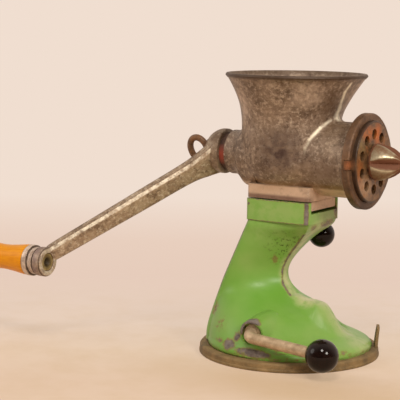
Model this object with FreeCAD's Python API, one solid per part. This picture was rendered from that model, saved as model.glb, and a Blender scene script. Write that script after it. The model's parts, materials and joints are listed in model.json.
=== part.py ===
import FreeCAD, Part
import math
import os

os.makedirs("parts", exist_ok=True)

V = FreeCAD.Vector
UP = V(0, 0, 1)
ALONG = V(1, 0, 0)
ACROSS = V(0, 1, 0)

# Frame: millimetres, origin at the middle of the pad underside, +X to the outlet, +Z up.

# Feed line
axis_z = 156.1
barrel_r = 29.0
junction_fillet_r = 5.0
bore_r = 25.7
flange_r = 36.6
flange_back_x = 60.0
flange_front_x = 66.5
chamber_back_x = -34.0
rear_boss_r = 17.5
rear_face_x = -53.0
bush_outer_r = 10.0
thrust_washer_r = 15.0
shaft_r = 7.5
run_gap = 0.05

# Perforated plate and cutting set
plate_r = 31.0
plate_back_x = 62.5
plate_front_x = 69.8
plate_hole_r = 3.9
plate_hole_circle_r = 21.0
plate_hole_count = 10
plate_hole_start_deg = 20.0
plate_centre_r = 5.6
lug_half_width = 3.6
lug_r = 36.4
knife_r = 24.6
knife_back_x = 55.4
knife_square = 11.0
nut_washer_t = 1.2
nut_length = 22.0
nut_base_r = 14.0
nut_tip_r = 5.9
nut_flutes = 4
stud_r = 5.0
stud_length = 12.0

# Feed screw
flight_r = 25.25
flight_pitch = 23.0
core_rear_r = 11.5
core_front_r = 9.0

# Crank
crank_rest_deg = 40.0
crank_radius = 135.0
hub_r = 18.0
hub_front_x = -59.2
hub_back_x = -75.0
boss_r = 11.6
boss_front_x = -160.7
boss_length = 8.5
boss_middle_x = boss_front_x - boss_length / 2
square_drive = 11.0
loop_rest_deg = 23.0
loop_rod_r = 2.6
loop_half_x = 8.0
loop_half_z = 10.4
spindle_r = 4.5
grip_start_x = -175.6
grip_end_x = -272.0

# Stand
head_top_z = 123.5
head_bottom_z = 106.7
head_half_y = 25.6
head_back_x = -26.5
head_front_x = 28.0
channel_floor_z = 114.5
channel_half_y = 21.0
ledge_inner_y = 16.0
ledge_front_x = 14.0
tongue_bottom_z = 116.7
tongue_half_y = 20.7
foot_bottom_z = 124.3
foot_top_z = 135.2
foot_half_y = 25.0
base_r = 65.0
base_x = 1.0
base_bottom_z = 7.0

# Suction foot
pad_r = 71.2
pad_rim_h = 7.0
lever_axis_z = 25.0
lever_rod_r = 4.3
ball_r = 12.4
ball_x = 64.0
ball_z = 18.7
lever_throw_deg = 170.0
pull_lift = 3.5
cam_low_r = 6.5
cam_half_y = 5.0
cam_pin_half = 6.0
yoke_bottom_z = 8.6
guide_r = 5.0
guide_top_z = 45.0
hollow_top_z = 38.5
bush_r = 7.0
lever_boss_y = -(base_r - 5.5)
near_bush_y = lever_boss_y + 2.0
far_bush_y = 15.0
far_bush_l = 10.0
lever_bend_y = lever_boss_y - 0.5
lever_arm_y = lever_bend_y - 8.0
shaft_end_y = 28.0
insert_r = 17.0
insert_stud_r = 4.0
insert_z = 3.0
insert_t = 1.5
pad_gap = 0.3
tab_deg = 28.0
tab_top_z = 23.0

# Clamp screw on the far side
clamp_knob_centre = V(9.5, 33.0, 91.0)
clamp_out = V(0, math.sqrt(0.5), -math.sqrt(0.5))
clamp_screw_r = 4.0
clamp_knob_r = 10.6


def cylinder(r, start, direction, length):
    return Part.makeCylinder(r, length, start, direction)


def rod_x(r, x0, x1, y=0.0, z=axis_z):
    return cylinder(r, V(x0, y, z), ALONG, x1 - x0)


def rod_z(r, z0, z1, x=0.0, y=0.0):
    return cylinder(r, V(x, y, z0), UP, z1 - z0)


def rod_y(r, y0, y1, x=0.0, z=lever_axis_z):
    return cylinder(r, V(x, y0, z), ACROSS, y1 - y0)


def block(x0, x1, y0, y1, z0, z1):
    return Part.makeBox(x1 - x0, y1 - y0, z1 - z0, V(x0, y0, z0))


def rounded_block(x0, x1, y0, y1, z0, z1, r):
    solid = block(x0, x1, y0, y1, z0, z1)
    uprights = []
    for edge in solid.Edges:
        a = edge.Vertexes[0].Point
        b = edge.Vertexes[1].Point
        if abs(a.z - b.z) > 1e-6:
            uprights.append(edge)
    return solid.makeFillet(r, uprights)


def revolve_about(points, base, direction):
    wire = Part.makePolygon(points + [points[0]])
    return Part.Face(wire).revolve(base, direction, 360)


def revolve_x(profile, z=axis_z):
    """Solid of revolution about the feed line from (x, r) pairs."""
    points = [V(x, 0, z + r) for x, r in profile]
    return revolve_about(points, V(0, 0, z), ALONG)


def revolve_z(profile, x=0.0):
    """Solid of revolution about an upright axis from (r, z) pairs."""
    points = [V(x + r, 0, z) for r, z in profile]
    return revolve_about(points, V(x, 0, 0), UP)


def curve_through(points, closed=False):
    spline = Part.BSplineCurve()
    spline.interpolate(points, PeriodicFlag=closed)
    return spline.toShape()


def ellipse_wire(z, x, half_x, half_y):
    if half_x > half_y:
        edge = Part.Ellipse(V(x + half_x, 0, z), V(x, half_y, z), V(x, 0, z)).toShape()
    else:
        edge = Part.makeCircle(half_x, V(x, 0, z), UP)
    return Part.Wire(edge)


def fillet_where(solid, r, test):
    chosen = [edge for edge in solid.Edges if test(edge)]
    return solid.makeFillet(r, chosen)


def export(name, shape):
    clean = shape.removeSplitter()
    clean.exportStep("parts/" + name + ".step")


# Grinder body: level, centre, half length and half width of the vase shaped outside.
vase_levels = [
    (133.0, 0.0, 31.0, 24.5),
    (137.0, 0.0, 33.5, 27.0),
    (142.0, -0.6, 37.0, 31.0),
    (148.0, -1.2, 38.8, 34.8),
    (156.0, -1.7, 38.9, 37.0),
    (168.0, -2.0, 38.8, 38.4),
    (180.0, -2.0, 38.6, 38.6),
    (187.0, -1.8, 39.2, 39.2),
    (194.0, -1.0, 41.0, 41.0),
    (201.0, 0.0, 43.9, 43.9),
    (208.0, 0.8, 47.6, 47.6),
    (214.0, 1.4, 51.2, 51.2),
    (218.0, 1.7, 54.0, 54.0),
]
rim_x = 1.7
rim_r = 55.2
rim_top_z = 220.5
chute_levels = [
    (156.1, -1.0, 24.6),
    (164.0, -1.5, 26.2),
    (171.0, -1.8, 30.0),
    (179.0, -2.0, 34.2),
    (187.0, -1.8, 35.9),
    (194.0, -1.0, 37.7),
    (201.0, 0.0, 40.6),
    (208.0, 0.8, 44.3),
    (214.0, 1.4, 47.9),
    (221.0, 1.7, 52.4),
]


def is_junction(edge):
    box = edge.BoundBox
    in_front = box.XMin > 10.0 and box.XMax < 45.0
    return in_front and box.YLength > 5.0 and 120.0 < box.ZMin < 135.0


def vase_and_barrel():
    """Hopper outside and barrel, with the cast fillet where they meet."""
    barrel = rod_x(barrel_r, -8.0, flange_back_x + 1.0)
    below = [(z,) + vase_levels[0][1:] for z in (110.0, 125.0)]
    column = Part.makeLoft([ellipse_wire(*level) for level in below + vase_levels], True)
    joined = fillet_where(column.fuse(barrel), junction_fillet_r, is_junction)
    upper = block(-80.0, 80.0, -80.0, 80.0, vase_levels[0][0], 240.0)
    return joined.common(upper).fuse(barrel)


def grinder_body():
    outside = vase_and_barrel()
    rim = revolve_z(
        [(50.0, 215.5), (53.6, 217.0), (rim_r - 0.5, 218.2), (rim_r, 218.9), (rim_r - 0.4, rim_top_z - 0.5),
         (rim_r - 1.1, rim_top_z), (51.6, rim_top_z), (50.0, 217.0)],
        rim_x,
    )
    flange = revolve_x(
        [(52.0, 10.0), (52.0, barrel_r), (56.0, barrel_r + 0.8), (58.6, barrel_r + 2.6),
         (flange_back_x, barrel_r + 6.0), (flange_back_x + 0.8, flange_r), (flange_front_x - 0.9, flange_r),
         (flange_front_x, flange_r - 0.9), (flange_front_x, 10.0)]
    )
    rear = revolve_x(
        [(-20.0, 0.0), (-20.0, 30.0), (-36.0, 26.0), (-42.0, 20.5), (-47.0, rear_boss_r),
         (rear_face_x, rear_boss_r), (rear_face_x, 0.0)]
    )
    foot = rounded_block(-26.5, 28.5, -foot_half_y, foot_half_y, foot_bottom_z, foot_top_z, 3.0)
    neck = block(-21.0, 27.0, -18.0, 18.0, head_top_z - 1.5, foot_bottom_z + 2.0)
    tongue = block(-21.0, 27.4, -tongue_half_y, tongue_half_y, tongue_bottom_z, head_top_z)
    body = outside.multiFuse([rim, flange, rear, foot, neck, tongue])

    chute = Part.makeLoft([ellipse_wire(z, x, r, r) for z, x, r in chute_levels], True)
    bore = rod_x(bore_r, chamber_back_x, 80.0)
    bush_seat = rod_x(bush_outer_r, -60.0, chamber_back_x + 1.0)
    plate_seat = rod_x(plate_r + 0.15, plate_back_x, 80.0)
    lug_slot = block(plate_back_x, 80.0, -60.0, -20.0,
                     axis_z - lug_half_width - 0.3, axis_z + lug_half_width + 0.3)
    spot = cylinder(3.7, clamp_point(30.0), clamp_out * -1, 8.2)
    screw_room = cylinder(clamp_screw_r + 0.3, clamp_point(26.0), clamp_out * -1, 7.3)
    body = body.cut(chute.multiFuse([bore, bush_seat, plate_seat, lug_slot]))
    return body.cut(spot.fuse(screw_room))


def clamp_point(s):
    """Point on the clamp screw axis, s millimetres inwards from the knob centre."""
    return clamp_knob_centre - clamp_out * s


def rear_bush():
    outer = rod_x(bush_outer_r, rear_face_x + 1.0, chamber_back_x)
    return outer.cut(rod_x(shaft_r + run_gap, -80.0, 0.0))


def perforated_plate():
    disc = revolve_x(
        [(plate_back_x, 0.0), (plate_back_x, plate_r), (plate_front_x - 0.6, plate_r),
         (plate_front_x, plate_r - 0.6), (plate_front_x, 0.0)]
    )
    lug = block(plate_back_x, flange_front_x - 0.3, -lug_r, -plate_r + 3.0,
                axis_z - lug_half_width, axis_z + lug_half_width)
    holes = [rod_x(plate_centre_r, 50.0, 90.0)]
    for i in range(plate_hole_count):
        angle = math.radians(plate_hole_start_deg + 360.0 * i / plate_hole_count)
        y = plate_hole_circle_r * math.cos(angle)
        z = axis_z + plate_hole_circle_r * math.sin(angle)
        holes.append(rod_x(plate_hole_r, 50.0, 90.0, y, z))
    return disc.fuse(lug).cut(Part.makeCompound(holes))


def flight_section(x, degrees):
    """Tapered section of the feed flight; the angle runs backwards, so the screw is left handed."""
    angle = math.radians(degrees)
    out = V(0, math.cos(angle), math.sin(angle))
    centre = V(x, 0, axis_z)
    root_half = V(3.4, 0, 0)
    tip_half = V(1.9, 0, 0)
    points = [
        centre + out * 7.0 - root_half, centre + out * flight_r - tip_half,
        centre + out * flight_r + tip_half, centre + out * 7.0 + root_half,
    ]
    return Part.makePolygon(points + [points[0]])


def feed_screw():
    start_x = chamber_back_x + 4.0
    end_x = knife_back_x - 3.0
    flight_start = start_x + 3.6
    flight_end = end_x - 2.2
    step_deg = 20.0
    count = int((flight_end - flight_start) / flight_pitch * 360.0 / step_deg)
    sections = []
    for i in range(count + 1):
        x = flight_start + flight_pitch * i * step_deg / 360.0
        sections.append(flight_section(x, -i * step_deg))
    flight = Part.makeLoft(sections, True)
    core = revolve_x(
        [(hub_back_x + 1.0, 0.0), (hub_back_x + 1.0, shaft_r), (chamber_back_x + 0.6, shaft_r),
         (chamber_back_x + 0.6, 15.0), (start_x, 15.0), (start_x + 2.0, core_rear_r), (end_x, core_front_r),
         (knife_back_x - 1.0, core_front_r), (knife_back_x - 1.0, 7.8), (plate_back_x - 0.1, 7.8),
         (plate_back_x - 0.1, plate_centre_r - run_gap), (plate_front_x, plate_centre_r - run_gap),
         (plate_front_x, stud_r), (plate_front_x + stud_length - 1.0, stud_r),
         (plate_front_x + stud_length, stud_r - 1.0), (plate_front_x + stud_length, 0.0)]
    )
    drive_span = hub_front_x - hub_back_x
    drive_ring = rod_x(30.0, hub_back_x - 5.0, hub_front_x + 0.2)
    drive = block(hub_back_x - 6.0, hub_front_x + 1.0, -square_drive / 2, square_drive / 2,
                  axis_z - square_drive / 2, axis_z + square_drive / 2)
    knife_ring = rod_x(30.0, knife_back_x - 1.0, plate_back_x - 0.1)
    knife_key = block(knife_back_x - 2.0, plate_back_x + 1.0, -knife_square / 2, knife_square / 2,
                      axis_z - knife_square / 2, axis_z + knife_square / 2)
    core = core.cut(drive_ring.cut(drive))
    core = core.cut(knife_ring.cut(knife_key))
    core = core.cut(rod_x(3.0 + run_gap, hub_back_x - 1.0, hub_back_x + drive_span + 3.0))
    screw = core.fuse(flight)
    return turned(screw, crank_rest_deg)


def turned(shape, degrees):
    result = shape.copy()
    result.rotate(V(0, 0, axis_z), ALONG, degrees)
    return result


def cutter_knife():
    hub = rod_x(9.6, knife_back_x, plate_back_x - 0.05)
    blades = []
    for i in range(4):
        profile = Part.makePolygon([
            V(plate_back_x - 0.05, -4.6, axis_z), V(plate_back_x - 0.05, 3.0, axis_z),
            V(plate_back_x - 2.4, 4.2, axis_z), V(knife_back_x + 0.6, 0.6, axis_z),
            V(knife_back_x + 0.6, -2.4, axis_z), V(plate_back_x - 0.05, -4.6, axis_z),
        ])
        blade = Part.Face(profile).extrude(V(0, 0, knife_r + 2.0))
        blades.append(turned(blade, 45.0 + 90.0 * i))
    knife = hub.multiFuse(blades).common(rod_x(knife_r, 40.0, 80.0))
    square = block(40.0, 80.0, -knife_square / 2, knife_square / 2,
                   axis_z - knife_square / 2, axis_z + knife_square / 2)
    return turned(knife.cut(square), crank_rest_deg)


def nut_washer():
    ring = rod_x(12.6, plate_front_x, plate_front_x + nut_washer_t)
    return ring.cut(rod_x(stud_r + 0.4, 0.0, 100.0))


def nut_flute(x0, x1):
    """V flute over the feed line that opens and deepens from the nut's base to its tip."""
    shallow = [V(x0, -0.2, axis_z + nut_base_r), V(x0, 0.2, axis_z + nut_base_r),
               V(x0, 2.4, axis_z + nut_base_r + 3.0), V(x0, -2.4, axis_z + nut_base_r + 3.0)]
    deep = [V(x1, -0.3, axis_z + 1.8), V(x1, 0.3, axis_z + 1.8),
            V(x1, 10.0, axis_z + nut_base_r + 3.0), V(x1, -10.0, axis_z + nut_base_r + 3.0)]
    ends = [Part.makePolygon(points + [points[0]]) for points in (shallow, deep)]
    return Part.makeLoft(ends, True, True)


def star_nut():
    x0 = plate_front_x + nut_washer_t
    x1 = x0 + nut_length
    nut = revolve_x(
        [(x0, 0.0), (x0, nut_base_r - 0.8), (x0 + 0.8, nut_base_r), (x0 + 4.0, nut_base_r),
         (x0 + 9.0, nut_base_r - 0.7), (x0 + 14.0, nut_base_r - 2.6), (x0 + 18.4, nut_base_r - 5.4),
         (x0 + 21.0, nut_tip_r), (x1, nut_tip_r - 2.6), (x1, 0.0)]
    )
    for i in range(nut_flutes):
        nut = nut.cut(turned(nut_flute(x0 + 2.4, x1 + 0.5), 90.0 + 360.0 * i / nut_flutes))
    thread = rod_x(stud_r + run_gap, 0.0, x0 + 11.5)
    return nut.cut(thread)


def thrust_washer():
    ring = rod_x(thrust_washer_r, hub_front_x, rear_face_x)
    return ring.cut(rod_x(shaft_r + 0.3, -80.0, 0.0))


# Crank: drawn with the arm along -Y, then turned to its rest angle.
def crank_section(x, radius, half_width, half_thick, chamfer):
    """Bevelled bar section square to the arm, at a point given by x and its radius."""
    lean = math.atan2(hub_front_x - 7.0 - boss_middle_x, crank_radius)
    face = V(math.cos(lean), -math.sin(lean), 0.0)
    centre = V(x, -radius, axis_z)
    points = []
    corners = [
        (-half_width + chamfer, half_thick), (half_width - chamfer, half_thick),
        (half_width, half_thick - chamfer), (half_width, -half_thick + chamfer),
        (half_width - chamfer, -half_thick), (-half_width + chamfer, -half_thick),
        (-half_width, -half_thick + chamfer), (-half_width, half_thick - chamfer),
    ]
    for across, thick in corners:
        points.append(centre + V(0, 0, across) + face * thick)
    return Part.makePolygon(points + [points[0]])


def crank_arm():
    hub = revolve_x(
        [(hub_front_x, 0.0), (hub_front_x, hub_r - 0.8), (hub_front_x - 0.8, hub_r),
         (hub_front_x - 5.0, hub_r), (hub_front_x - 9.0, hub_r - 1.4), (hub_front_x - 12.6, hub_r - 3.8),
         (hub_front_x - 15.0, hub_r - 6.6), (hub_back_x, hub_r - 8.0), (hub_back_x, 0.0)]
    )
    boss_centre = V(boss_front_x, -crank_radius, axis_z)
    boss = cylinder(boss_r, boss_centre, ALONG * -1, boss_length)
    boss = fillet_where(boss, 1.4, lambda edge: edge.Length > 40.0)
    bar = Part.makeLoft([
        crank_section(hub_front_x - 6.8, 7.0, 14.6, 5.4, 2.6),
        crank_section(hub_front_x - 15.2, 16.5, 11.6, 5.3, 2.6),
        crank_section(hub_front_x - 25.8, 28.5, 9.2, 5.0, 2.6),
        crank_section(boss_middle_x + 4.8, crank_radius - 13.4, 7.4, 4.4, 2.2),
        crank_section(boss_middle_x + 1.0, crank_radius - 6.0, 6.8, 3.6, 1.8),
    ], True, True)
    arm = hub.multiFuse([boss, bar])
    arm = arm.cut(rod_x(60.0, hub_front_x, 0.0))
    drive = block(hub_back_x - 60.0, hub_front_x + 1.0, -square_drive / 2, square_drive / 2,
                  axis_z - square_drive / 2, axis_z + square_drive / 2)
    washer_seat = rod_x(10.5, hub_back_x - 60.0, hub_back_x)
    arm = arm.cut(drive.common(rod_x(30.0, hub_back_x, hub_front_x + 1.0)))
    arm = arm.cut(washer_seat)
    spindle_hole = cylinder(spindle_r, boss_centre + V(1, 0, 0), ALONG * -1, boss_length + 2.0)
    counterbore = cylinder(7.2, boss_centre + V(1, 0, 0), ALONG * -1, 3.6)
    arm = arm.cut(spindle_hole.fuse(counterbore))
    return turned(arm, crank_rest_deg)


def screw_washer():
    ring = rod_x(9.8, hub_back_x - 1.4, hub_back_x)
    return ring.cut(rod_x(3.3, -100.0, 0.0))


def crank_thumb_screw():
    seat_x = hub_back_x - 1.4
    stem = rod_x(3.0, seat_x - 4.0, seat_x + 15.0)
    collar = rod_x(5.4, seat_x - 3.2, seat_x)
    centre = V(seat_x - 2.8 - loop_half_x, 0, axis_z)
    bend = Part.Ellipse(centre + V(0, 0, loop_half_z), centre + V(loop_half_x, 0, 0), centre)
    halves = []
    for start in (0.0, math.pi):
        path = Part.Wire(bend.toShape(start, start + math.pi))
        ring = Part.Wire(Part.makeCircle(loop_rod_r, bend.value(start), ALONG))
        halves.append(path.makePipeShell([ring], True, True))
    return turned(stem.multiFuse([collar] + halves), loop_rest_deg)


def handle_spindle():
    y = -crank_radius
    rivet = rod_x(7.0, boss_front_x - 2.6, boss_front_x - 1.0, y)
    pin = rod_x(spindle_r, grip_end_x + 4.0, boss_front_x - 2.0, y)
    head = rod_x(7.0, grip_end_x + 2.0, grip_end_x + 4.6, y)
    dimple = Part.makeCone(1.4, 4.2, 3.0, V(boss_front_x - 3.6, y, axis_z), ALONG)
    return turned(pin.multiFuse([rivet, head]).cut(dimple), crank_rest_deg)


def handle_washer():
    y = -crank_radius
    back = boss_front_x - boss_length
    ring = rod_x(10.9, grip_start_x + 1.7, back, y)
    return turned(ring.cut(rod_x(spindle_r, -300.0, 0.0, y)), crank_rest_deg)


def handle_ferrule():
    y = -crank_radius
    ring = rod_x(12.4, grip_start_x - 3.4, grip_start_x + 1.6, y)
    ring = fillet_where(ring, 0.8, lambda edge: edge.Length > 60.0)
    return turned(ring.cut(rod_x(spindle_r + run_gap, -300.0, 0.0, y)), crank_rest_deg)


def handle_grip():
    y = -crank_radius
    start = grip_start_x - 3.4
    length = start - grip_end_x
    stations = [
        (0.0, 11.9), (0.04, 12.0), (0.16, 10.6), (0.28, 9.9), (0.42, 10.8), (0.60, 12.8),
        (0.76, 13.4), (0.90, 12.4), (0.97, 10.0),
    ]
    outline = [V(start - length * t, y, axis_z + r) for t, r in stations]
    side = curve_through(outline + [V(grip_end_x, y, axis_z + 7.6)])
    first = Part.makeLine(V(start, y, axis_z), outline[0])
    last = Part.makeLine(V(grip_end_x, y, axis_z + 7.6), V(grip_end_x, y, axis_z))
    spine = Part.makeLine(V(grip_end_x, y, axis_z), V(start, y, axis_z))
    face = Part.Face(Part.Wire([first, side, last, spine]))
    grip = face.revolve(V(0, y, axis_z), ALONG, 360)
    hole = rod_x(spindle_r + run_gap, -300.0, 0.0, y)
    pocket = rod_x(7.3, grip_end_x - 1.0, grip_end_x + 4.9, y)
    return turned(grip.cut(hole.fuse(pocket)), crank_rest_deg)


# Stand: level, nose, strip edge x and half width, flank bulge, corner start and end, back.
boot_levels = [
    (106.9, 28.0, 27.2, 22.8, 0.1, -22.0, 25.6, -26.7, 20.6, -26.9),
    (97.0, 20.0, 19.6, 15.0, 2.2, -25.8, 25.4, -31.3, 20.4, -31.6),
    (87.0, 10.0, 9.6, 8.5, 3.0, -30.3, 25.2, -36.0, 20.2, -36.4),
    (76.0, 1.0, 0.6, 5.6, 3.2, -35.2, 25.2, -41.0, 20.2, -41.5),
    (65.0, -4.0, -4.4, 4.8, 3.6, -40.0, 25.3, -46.0, 20.3, -46.5),
    (55.0, -2.0, -2.6, 6.2, 5.5, -43.8, 26.0, -50.0, 20.8, -50.6),
    (47.0, 5.0, 4.2, 7.8, 10.5, -46.6, 27.0, -52.6, 21.4, -53.6),
    (42.0, 10.5, 9.6, 8.0, 16.2, -48.0, 28.4, -54.0, 22.0, -55.4),
    (38.0, 18.5, 17.5, 8.0, 20.6, -49.0, 29.8, -55.0, 22.0, -56.6),
    (34.0, 28.0, 27.0, 8.2, 24.6, -49.8, 31.4, -55.9, 22.1, -57.8),
    (29.0, 39.4, 38.2, 8.2, 28.4, -50.5, 33.5, -56.8, 22.3, -59.0),
    (24.0, 49.8, 48.5, 8.5, 31.5, -51.0, 35.5, -57.8, 22.5, -60.5),
    (20.0, 58.4, 56.9, 9.0, 34.0, -51.3, 36.5, -58.5, 22.6, -61.8),
    (16.0, 64.2, 62.6, 11.0, 36.5, -51.6, 37.0, -59.2, 22.6, -63.0),
    (12.0, 65.4, 63.9, 13.0, 37.8, -51.7, 37.1, -59.5, 22.5, -63.3),
    (9.0, 65.5, 64.0, 13.0, 38.2, -51.8, 37.2, -59.6, 22.4, -63.4),
]
# Ridge on top of the foot: x, top level and half width, bottom level and half width.
ridge_stations = [
    (-6.0, 50.0, 6.2, 22.0, 23.0),
    (4.0, 46.4, 6.6, 21.0, 25.0),
    (12.0, 44.4, 7.2, 20.5, 26.5),
    (20.0, 43.6, 7.8, 20.0, 27.0),
    (27.0, 42.6, 8.2, 19.5, 26.5),
    (32.0, 40.2, 8.6, 19.0, 25.5),
    (37.0, 36.4, 8.8, 18.0, 24.0),
    (42.0, 31.4, 9.0, 17.0, 22.0),
    (48.0, 25.8, 9.2, 15.0, 19.0),
    (55.0, 20.6, 9.4, 13.0, 15.0),
    (61.0, 16.8, 9.4, 11.0, 11.5),
]


def arc_or_line(a, m, b):
    chord = b - a
    off = (m - a).cross(chord).Length / max(chord.Length, 1e-9)
    if off < 1e-3:
        return Part.makeLine(a, b)
    return Part.Arc(a, m, b).toShape()


def boot_section(z, nose, edge_x, edge_w, bulge, corner_x, corner_w, back_x, back_w, back_mid):
    edge_r = V(edge_x, edge_w, z)
    edge_l = V(edge_x, -edge_w, z)
    corner_r = V(corner_x, corner_w, z)
    corner_l = V(corner_x, -corner_w, z)
    back_r = V(back_x, back_w, z)
    back_l = V(back_x, -back_w, z)
    flank = corner_r - edge_r
    outward = V(flank.y, -flank.x, 0)
    outward.normalize()
    flank_r = (edge_r + corner_r) * 0.5 + outward * bulge
    flank_l = V(flank_r.x, -flank_r.y, z)
    turn = (back_r - corner_r)
    turn_out = V(turn.y, -turn.x, 0)
    turn_out.normalize()
    knuckle_r = (corner_r + back_r) * 0.5 + turn_out * (0.17 * turn.Length)
    knuckle_l = V(knuckle_r.x, -knuckle_r.y, z)
    return Part.Wire([
        arc_or_line(edge_l, V(nose, 0, z), edge_r),
        arc_or_line(edge_r, flank_r, corner_r),
        arc_or_line(corner_r, knuckle_r, back_r),
        arc_or_line(back_r, V(back_mid, 0, z), back_l),
        arc_or_line(back_l, knuckle_l, corner_l),
        arc_or_line(corner_l, flank_l, edge_l),
    ])


def ridge_section(x, top_z, top_half, bottom_z, bottom_half):
    """Cross-section of the ridge: a slightly crowned strip on top, and flanks that slope out to the foot."""
    top_r = V(x, top_half, top_z)
    top_l = V(x, -top_half, top_z)
    bottom_r = V(x, bottom_half, bottom_z)
    bottom_l = V(x, -bottom_half, bottom_z)
    return Part.Wire([
        Part.Arc(top_l, V(x, 0, top_z + 0.6), top_r).toShape(),
        Part.makeLine(top_r, bottom_r),
        Part.makeLine(bottom_r, bottom_l),
        Part.makeLine(bottom_l, top_l),
    ])


def quad_wire(z, x0, half0, x1, half1):
    points = [V(x0, -half0, z), V(x1, -half1, z), V(x1, half1, z), V(x0, half0, z)]
    return Part.makePolygon(points + [points[0]])


def stand():
    boot = Part.makeLoft([boot_section(*level) for level in boot_levels], True)
    ridge = Part.makeLoft([ridge_section(*station) for station in ridge_stations], True)
    skirt = revolve_z(
        [(0.0, base_bottom_z), (base_r - 1.0, base_bottom_z), (base_r, base_bottom_z + 1.0),
         (base_r, 11.4), (base_r - 1.6, 13.6), (base_r - 13.0, 16.6), (0.0, 16.6)],
        base_x,
    )
    head = rounded_block(head_back_x - 0.6, head_front_x + 0.4, -head_half_y - 0.6, head_half_y + 0.6,
                         head_bottom_z, head_top_z, 4.0)
    clamp_boss = cylinder(8.0, clamp_point(12.0), clamp_out * -1, 18.0)
    body = boot.multiFuse([ridge, skirt, head, clamp_boss])

    hollow = revolve_z(
        [(0.0, base_bottom_z - 1.0), (58.0, base_bottom_z - 1.0), (58.0, 10.5), (49.0, 14.0), (39.0, 20.0),
         (30.0, 26.0), (22.0, 31.0), (17.0, 33.0), (0.0, 33.0)]
    )
    yoke_room = block(-17.2, 17.2, -5.8, 5.8, 25.0, hollow_top_z)
    shaft_room = Part.makeLoft([
        quad_wire(30.0, -12.0, 9.0, -45.0, 17.0),
        quad_wire(65.0, -14.0, 6.0, -40.0, 18.0),
        quad_wire(99.0, 6.0, 12.0, -25.0, 18.0),
    ], True, True)
    body = body.cut(hollow.multiFuse([shaft_room, yoke_room]))
    boss_profile = [(lever_boss_y, 0.0), (lever_boss_y, 9.6), (lever_boss_y + 0.9, 10.4),
                    (lever_boss_y + 27.5, 14.0), (lever_boss_y + 27.5, 0.0)]
    boss_points = [V(0, y, lever_axis_z + r) for y, r in boss_profile]
    lever_boss = revolve_about(boss_points, V(0, 0, lever_axis_z), ACROSS)
    far_web = block(-11.0, 11.0, far_bush_y, far_bush_y + far_bush_l, 13.0, 36.5)
    body = body.multiFuse([lever_boss, far_web])

    channel = block(-22.0, 60.0, -channel_half_y, channel_half_y, channel_floor_z, 140.0)
    for side in (-1, 1):
        inner = side * ledge_inner_y
        outer = side * (channel_half_y + 1.0)
        channel = channel.cut(block(-23.0, ledge_front_x, min(inner, outer), max(inner, outer),
                                    channel_floor_z - 1.0, tongue_bottom_z))
    shaft_hole = rod_y(bush_r, lever_boss_y - 1.0, shaft_end_y + 1.5)
    arm_niche = rod_y(8.4, -80.0, near_bush_y)
    screw_hole = cylinder(clamp_screw_r + run_gap, clamp_point(0.0), clamp_out * -1, 40.0)
    guide_hole = rod_z(guide_r, 30.0, guide_top_z)
    return body.cut(channel.multiFuse([shaft_hole, arm_niche, screw_hole, guide_hole]))


# Suction foot, lever and lifting cam.
def suction_pad():
    disc = revolve_z(
        [(0.0, 0.0), (pad_r - 0.8, 0.0), (pad_r, 0.8), (pad_r, pad_rim_h - 1.2), (pad_r - 1.2, pad_rim_h),
         (57.0, pad_rim_h), (50.0, 3.0), (24.0, 3.0), (21.0, 6.0), (0.0, 6.0)]
    )
    tab = rounded_block(pad_r - 2.4, pad_r, -7.0, 7.0, 4.0, tab_top_z, 1.0)
    tab.rotate(V(0, 0, 0), UP, tab_deg)
    pocket = rod_z(insert_r + pad_gap, insert_z, insert_z + insert_t)
    neck = rod_z(insert_stud_r + pad_gap, insert_z, 10.0)
    return disc.fuse(tab).cut(pocket.fuse(neck))


def pad_insert():
    plate = rod_z(insert_r, insert_z, insert_z + insert_t)
    stud = rod_z(insert_stud_r, insert_z, yoke_bottom_z)
    tail = rod_z(3.0, insert_z, yoke_bottom_z + 3.0)
    return plate.multiFuse([stud, tail])


def pull_yoke():
    top_z = lever_axis_z + cam_low_r + run_gap
    frame = block(-16.0, 16.0, -4.5, 4.5, yoke_bottom_z, top_z + 3.0)
    window = block(-12.2, 12.2, -6.0, 6.0, yoke_bottom_z + 3.0, top_z)
    stem = rod_z(3.0, top_z + 2.0, guide_top_z - pull_lift - 0.6)
    tail_hole = rod_z(3.0, 0.0, yoke_bottom_z + 3.0)
    return frame.cut(window).fuse(stem).cut(tail_hole)


def guide_bush():
    outer = rod_z(guide_r, hollow_top_z, guide_top_z)
    return outer.cut(rod_z(3.0 + run_gap, 0.0, 80.0))


def cam_reach(turn):
    """Reach of the cam towards the yoke after the lever has turned, and its slope per radian."""
    throw = math.radians(lever_throw_deg)
    rise = pull_lift / throw
    ease = math.radians(24.0)
    fall_span = 2 * math.pi - throw - 2 * ease
    fall = (pull_lift + rise * ease) / (fall_span + ease)
    if turn <= throw:
        return cam_low_r + rise * turn, rise
    top = cam_low_r + pull_lift
    t = turn - throw
    bend = (rise + fall) / (2 * ease)
    if t <= 2 * ease:
        return top + rise * t - bend * t * t / 2, rise - bend * t
    after = top + rise * 2 * ease - bend * 2 * ease * ease
    return after - fall * (t - 2 * ease), -fall


def lever_cam():
    points = []
    for i in range(180):
        turn = 2 * math.pi * i / 180.0
        reach, slope = cam_reach(turn)
        angle = math.pi / 2 - turn
        normal = V(math.cos(angle), 0, math.sin(angle))
        tangent = V(math.sin(angle), 0, -math.cos(angle))
        points.append(V(0, -cam_half_y, lever_axis_z) + normal * reach + tangent * slope)
    outline = Part.makePolygon(points + [points[0]])
    cam = Part.Face(outline).extrude(V(0, 2 * cam_half_y, 0))
    bore = rod_y(lever_rod_r, -20.0, 20.0)
    return cam.cut(bore.fuse(cam_pin()))


def cam_pin():
    return cylinder(1.2, V(-cam_pin_half, 0, lever_axis_z), ALONG, 2 * cam_pin_half)


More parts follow.
